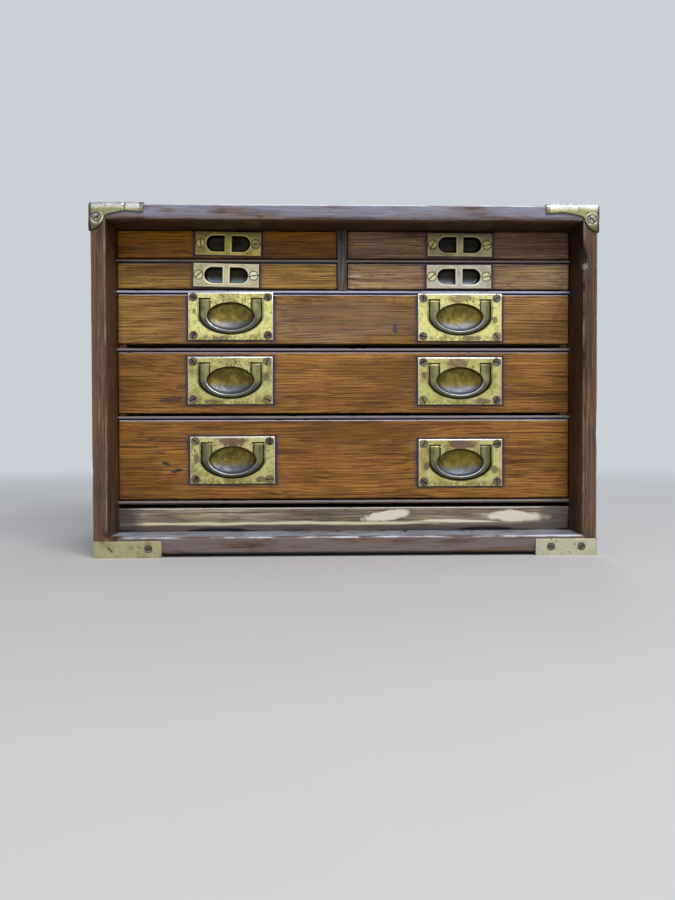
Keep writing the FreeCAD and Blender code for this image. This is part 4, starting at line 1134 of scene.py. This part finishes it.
def dress_handles(drawer, seed):
    """A large drawer's two plates, with rounded cups, and the bails on their pins."""
    node = drawer + "_handle_plates"
    plates, materials = solid_copy(node), []
    stains, light, cover, blots = PLATES[drawer]
    for number, side in enumerate(("left", "right")):
        x, z = plate_centre(drawer, side)
        filling, bowl = rounded_cup(x, z + CUP_Z)
        cut(plates, consistent(mesh_object("filling", *filling)), "UNION")
        cut(plates, consistent(mesh_object("bowl", *bowl)), "DIFFERENCE")
        name, stain = f"{drawer}_plate_{side}", stains[number]
        materials.append(plate_material(name, seed + 3 * number, x, z, stain, light, cover, blots[number]))
        bail = consistent(mesh_object("bail", *bail_mesh(x, z)))
        for leg in (-1, 1):
            ends = sorted((x + leg * (BAIL_LEG_IN - PIVOT_OUT), x + leg * (BAIL_HALF_W + PIVOT_OUT)))
            cut(bail, consistent(mesh_object("pin", *pin_mesh(*ends, z + PIVOT_Z))), "UNION")
        name = f"{drawer}_bail_{side}"
        brass = metal(name, seed + 40 + number, *BAIL_BRASS, (0.34, 0.6), 0.45, 0.32, bail_shade_and_highlights(x, z))
        dress(bail, name, "_cast", name, "bail_brass", brass)
    dress(plates, node, "_cast", drawer + "_drawer", "plate_brass", *materials)
    for face in plates.data.polygons:
        face.material_index = int(face.center.x > 0)


# Tilt of each finger pull in degrees, its bright and tarnished tones, and the painted light in the lower
# part of the pan behind it: a bluish reflection in the lower pulls, dark shade in the upper ones
PULLS = {
    "upper_left": (1.1, (0.43, 0.36, 0.105), (0.185, 0.14, 0.045), (0.036, 0.034, 0.034)),
    "upper_right": (0.5, (0.33, 0.285, 0.15), (0.19, 0.15, 0.08), (0.036, 0.034, 0.034)),
    "lower_left": (1.2, (0.6, 0.54, 0.35), (0.38, 0.32, 0.19), (0.11, 0.15, 0.2)),
    "lower_right": (0.0, (0.5, 0.475, 0.37), (0.32, 0.285, 0.19), (0.12, 0.14, 0.18)),
}


def dress_drawers():
    heads = slot_dirt_and_shade(lambda shader: shader.y - PLATE_FACE_Y, (0.26, 0.225, 0.11))
    pull_heads = slot_dirt_and_shade(lambda shader: shader.y - PULL_FACE_Y, (0.56, 0.52, 0.26))
    steel = metal("screw_steel", 301, *SCREW_STEEL, (0.35, 0.6), 0.5, 0.38, heads)
    yellow = metal("screw_brass", 307, *SCREW_BRASS, (0.45, 0.7), 0.3, 0.28, pull_heads)
    lining = plain_wood("lining_oak", 313, "Y", LINING_OAK, 0.7)
    panel = plain_wood("panel_oak", 331, "X", LINING_OAK, 0.75)
    for drawer, (seed, tones, arris_highlight) in LARGE.items():
        centres = [plate_centre(drawer, side) for side in ("left", "right")]
        worn_front(drawer, seed, tones, arris_highlight, [(*centre, *PLATE_HALF) for centre in centres])
        dress_handles(drawer, seed + 7)
        paint(NODES[drawer + "_drawer_screws"], steel)
    for drawer, (seed, tones, arris_highlight) in SMALL.items():
        node = drawer + "_finger_pull"
        low, high = box_mm(node)
        x, z = float(low[0] + high[0]) / 2, float(low[2] + high[2]) / 2
        worn_front(drawer, seed, tones, arris_highlight, [(x, z, *PULL_HALF)])
        paint(NODES[node], pull_material(node, seed + 7, x, z, *PULLS[drawer]))
        paint(NODES[drawer + "_drawer_screws"], yellow)
    for drawer in (*LARGE, *SMALL):
        paint(NODES[drawer + "_drawer_case"], lining)
        paint(NODES[drawer + "_drawer_bottom"], panel)


# --- Corners --------------------
CORNERS = ("corner_cap_left", "corner_cap_right", "foot_cap_left", "foot_cap_right", "rear_corner_brass")
VOXEL, CAP_ROUND, FOOT_ROUND = 0.45, 4.2, 0.9
HAMMERED, TAPPED = Field(411, 22), Field(412, 7)


def cap_dents(points):
    """Gentle hammering of the outer faces, and the crease across the left cap's arm."""
    x, y, z = points.T
    crease = np.exp(-((x + CAP_CREASE) / 0.9) ** 2) * (z > TOP_Z - 16)
    outer = np.max([np.abs(x) - OUTER_X, FRONT_Y - y, y - BACK_Y, z - TOP_Z], axis=0) > CAP_T / 2
    upper = z > TOP_Z / 2
    dents = np.where(upper, 0.16 + 0.14 * HAMMERED(points), 0.08 + 0.06 * HAMMERED(points))
    return np.clip(dents + 0.03 * TAPPED(points) + 0.45 * crease, 0, None) * outer


def soften(piece, reach):
    """Rounds the outer edges of a corner's brass by a radius of reach(points in millimetres)."""
    points = column(piece.data.vertices, "co", 3) / MM
    radius = reach(points)[:, None]
    low = np.array([-OUTER_X - CAP_T, FRONT_Y - CAP_T, -SPARE - 10])
    high = np.array([OUTER_X + CAP_T, BACK_Y + CAP_T, TOP_Z + CAP_T])
    core = np.clip(points, low + radius, high - radius)
    out = points - core
    length = np.maximum(np.linalg.norm(out, axis=1)[:, None], 1e-9)
    points = core + out * np.minimum(1.0, radius / length)
    piece.data.vertices.foreach_set("co", (points * MM).ravel())
    piece.data.update()


def dress_corners():
    steel = metal("corner_steel", 311, *FOOT_STEEL, (0.35, 0.6), 0.5, 0.38, corner_screw_wear)
    paint(NODES["corner_screws"], steel)
    brass = metal("corner_brass", 401, *CORNER_BRASS, (0.44, 0.72), 0.25, 0.28, cap_wear_and_light)
    for node in CORNERS:
        piece = solid_copy(node)
        remesh = piece.modifiers.new("Remesh", "REMESH")
        remesh.mode, remesh.voxel_size = "VOXEL", VOXEL * MM
        smooth = piece.modifiers.new("Smooth", "SMOOTH")
        smooth.factor, smooth.iterations = 0.5, 6
        applied(piece)
        soften(piece, lambda points: np.where(points[:, 2] > TOP_Z / 2, CAP_ROUND, FOOT_ROUND))
        press(piece, cap_dents)
        fewer = piece.modifiers.new("Decimate", "DECIMATE")
        fewer.ratio = 0.5
        applied(piece)
        dress(piece, node, "_worn", "carcase", "corner_brass", brass)


# --- Studio --------------------
BACKDROP = (0.6, 0.63, 0.68, 1.0)


def floor():
    """Pale floor that fades into the backdrop where the camera sees it far off."""
    places = np.linspace(-6000, 6000, 25)
    row = len(places)
    points = [(x, y, 0.0) for y in places for x in places]
    faces = [(i, i + 1, i + row + 1, i + row) for i in range(row * (row - 1)) if (i + 1) % row]
    plane = mesh_object("floor", points, faces)
    shader = Shader("floor", 501)
    shader.tint = shader.mix(shader.noise(0.004, 3.0), (0.56, 0.56, 0.56), (0.62, 0.615, 0.61))
    shader.rough = 0.75
    plane.data.materials.append(shader.finish(Specular_IOR_Level=0.2))
    seen = Value(shader, shader.node("ShaderNodeLightPath").outputs["Is Camera Ray"])
    glow, blend = shader.node("ShaderNodeEmission"), shader.node("ShaderNodeMixShader")
    glow.inputs["Color"].default_value = BACKDROP
    shader.put(blend.inputs[0], distance(shader.x, shader.y).fade(480, 2300) * seen)
    shader.put(blend.inputs[1], shader.bsdf.outputs[0])
    shader.put(blend.inputs[2], glow.outputs[0])
    shader.put(shader.tree.nodes["Material Output"].inputs["Surface"], blend.outputs[0])


def lamp(name, place, target, size, watts, tint):
    """Area light; its places and sizes are metres."""
    data = bpy.data.lights.new(name, "AREA")
    data.shape, data.size, data.size_y = "RECTANGLE", size[0], size[1]
    data.energy, data.color = watts, tint
    light = bpy.data.objects.new(name, data)
    light.location = place
    light.rotation_euler = (Vector(target) - Vector(place)).to_track_quat("-Z", "Y").to_euler()
    bpy.context.scene.collection.objects.link(light)


def studio():
    world = bpy.data.worlds.new("studio")
    world.use_nodes = True
    bpy.context.scene.world = world
    tree = world.node_tree
    mix = tree.nodes.new("ShaderNodeMix")
    mix.data_type = "RGBA"
    mix.inputs[6].default_value, mix.inputs[7].default_value = (0.295, 0.32, 0.37, 1.0), BACKDROP
    tree.links.new(tree.nodes.new("ShaderNodeLightPath").outputs["Is Camera Ray"], mix.inputs[0])
    tree.links.new(mix.outputs[2], tree.nodes["Background"].inputs["Color"])
    lamp("key", (0.42, -1.35, 1.65), (0.0, -0.1, 0.15), (1.4, 0.55), 32, (1.0, 0.98, 0.96))
    lamp("card", (0.15, -2.7, 0.75), (0.0, -0.14, 0.2), (3.2, 1.3), 9.0, (1.0, 0.99, 0.97))
    lamp("rear", (0.4, 1.9, 1.6), (0.0, 0.1, 0.2), (1.2, 1.0), 14, (1.0, 1.0, 1.0))
    bpy.context.scene.view_settings.view_transform = "Standard"


def camera():
    """The photograph's camera, as fitted to the cabinet's front."""
    yaw, pitch, roll = 0.0248, 0.018, -0.0029
    turns = [Matrix.Rotation(angle, 3, axis) for angle, axis in ((roll, "Y"), (pitch, "X"), (yaw, "Z"))]
    right, ahead, up = turns[0] @ turns[1] @ turns[2]
    data = bpy.data.cameras.new("camera")
    data.sensor_width, data.lens = 36.0, 29.2
    data.clip_start, data.clip_end = 0.01, 50.0
    view = bpy.data.objects.new("camera", data)
    bpy.context.scene.collection.objects.link(view)
    turn = Matrix((right, up, -ahead)).transposed()
    view.matrix_world = Matrix.Translation((-0.02743, -0.87251, 0.12041)) @ turn.to_4x4()
    bpy.context.scene.camera = view


dress_carcase()
dress_drawers()
dress_corners()
floor()
studio()
camera()
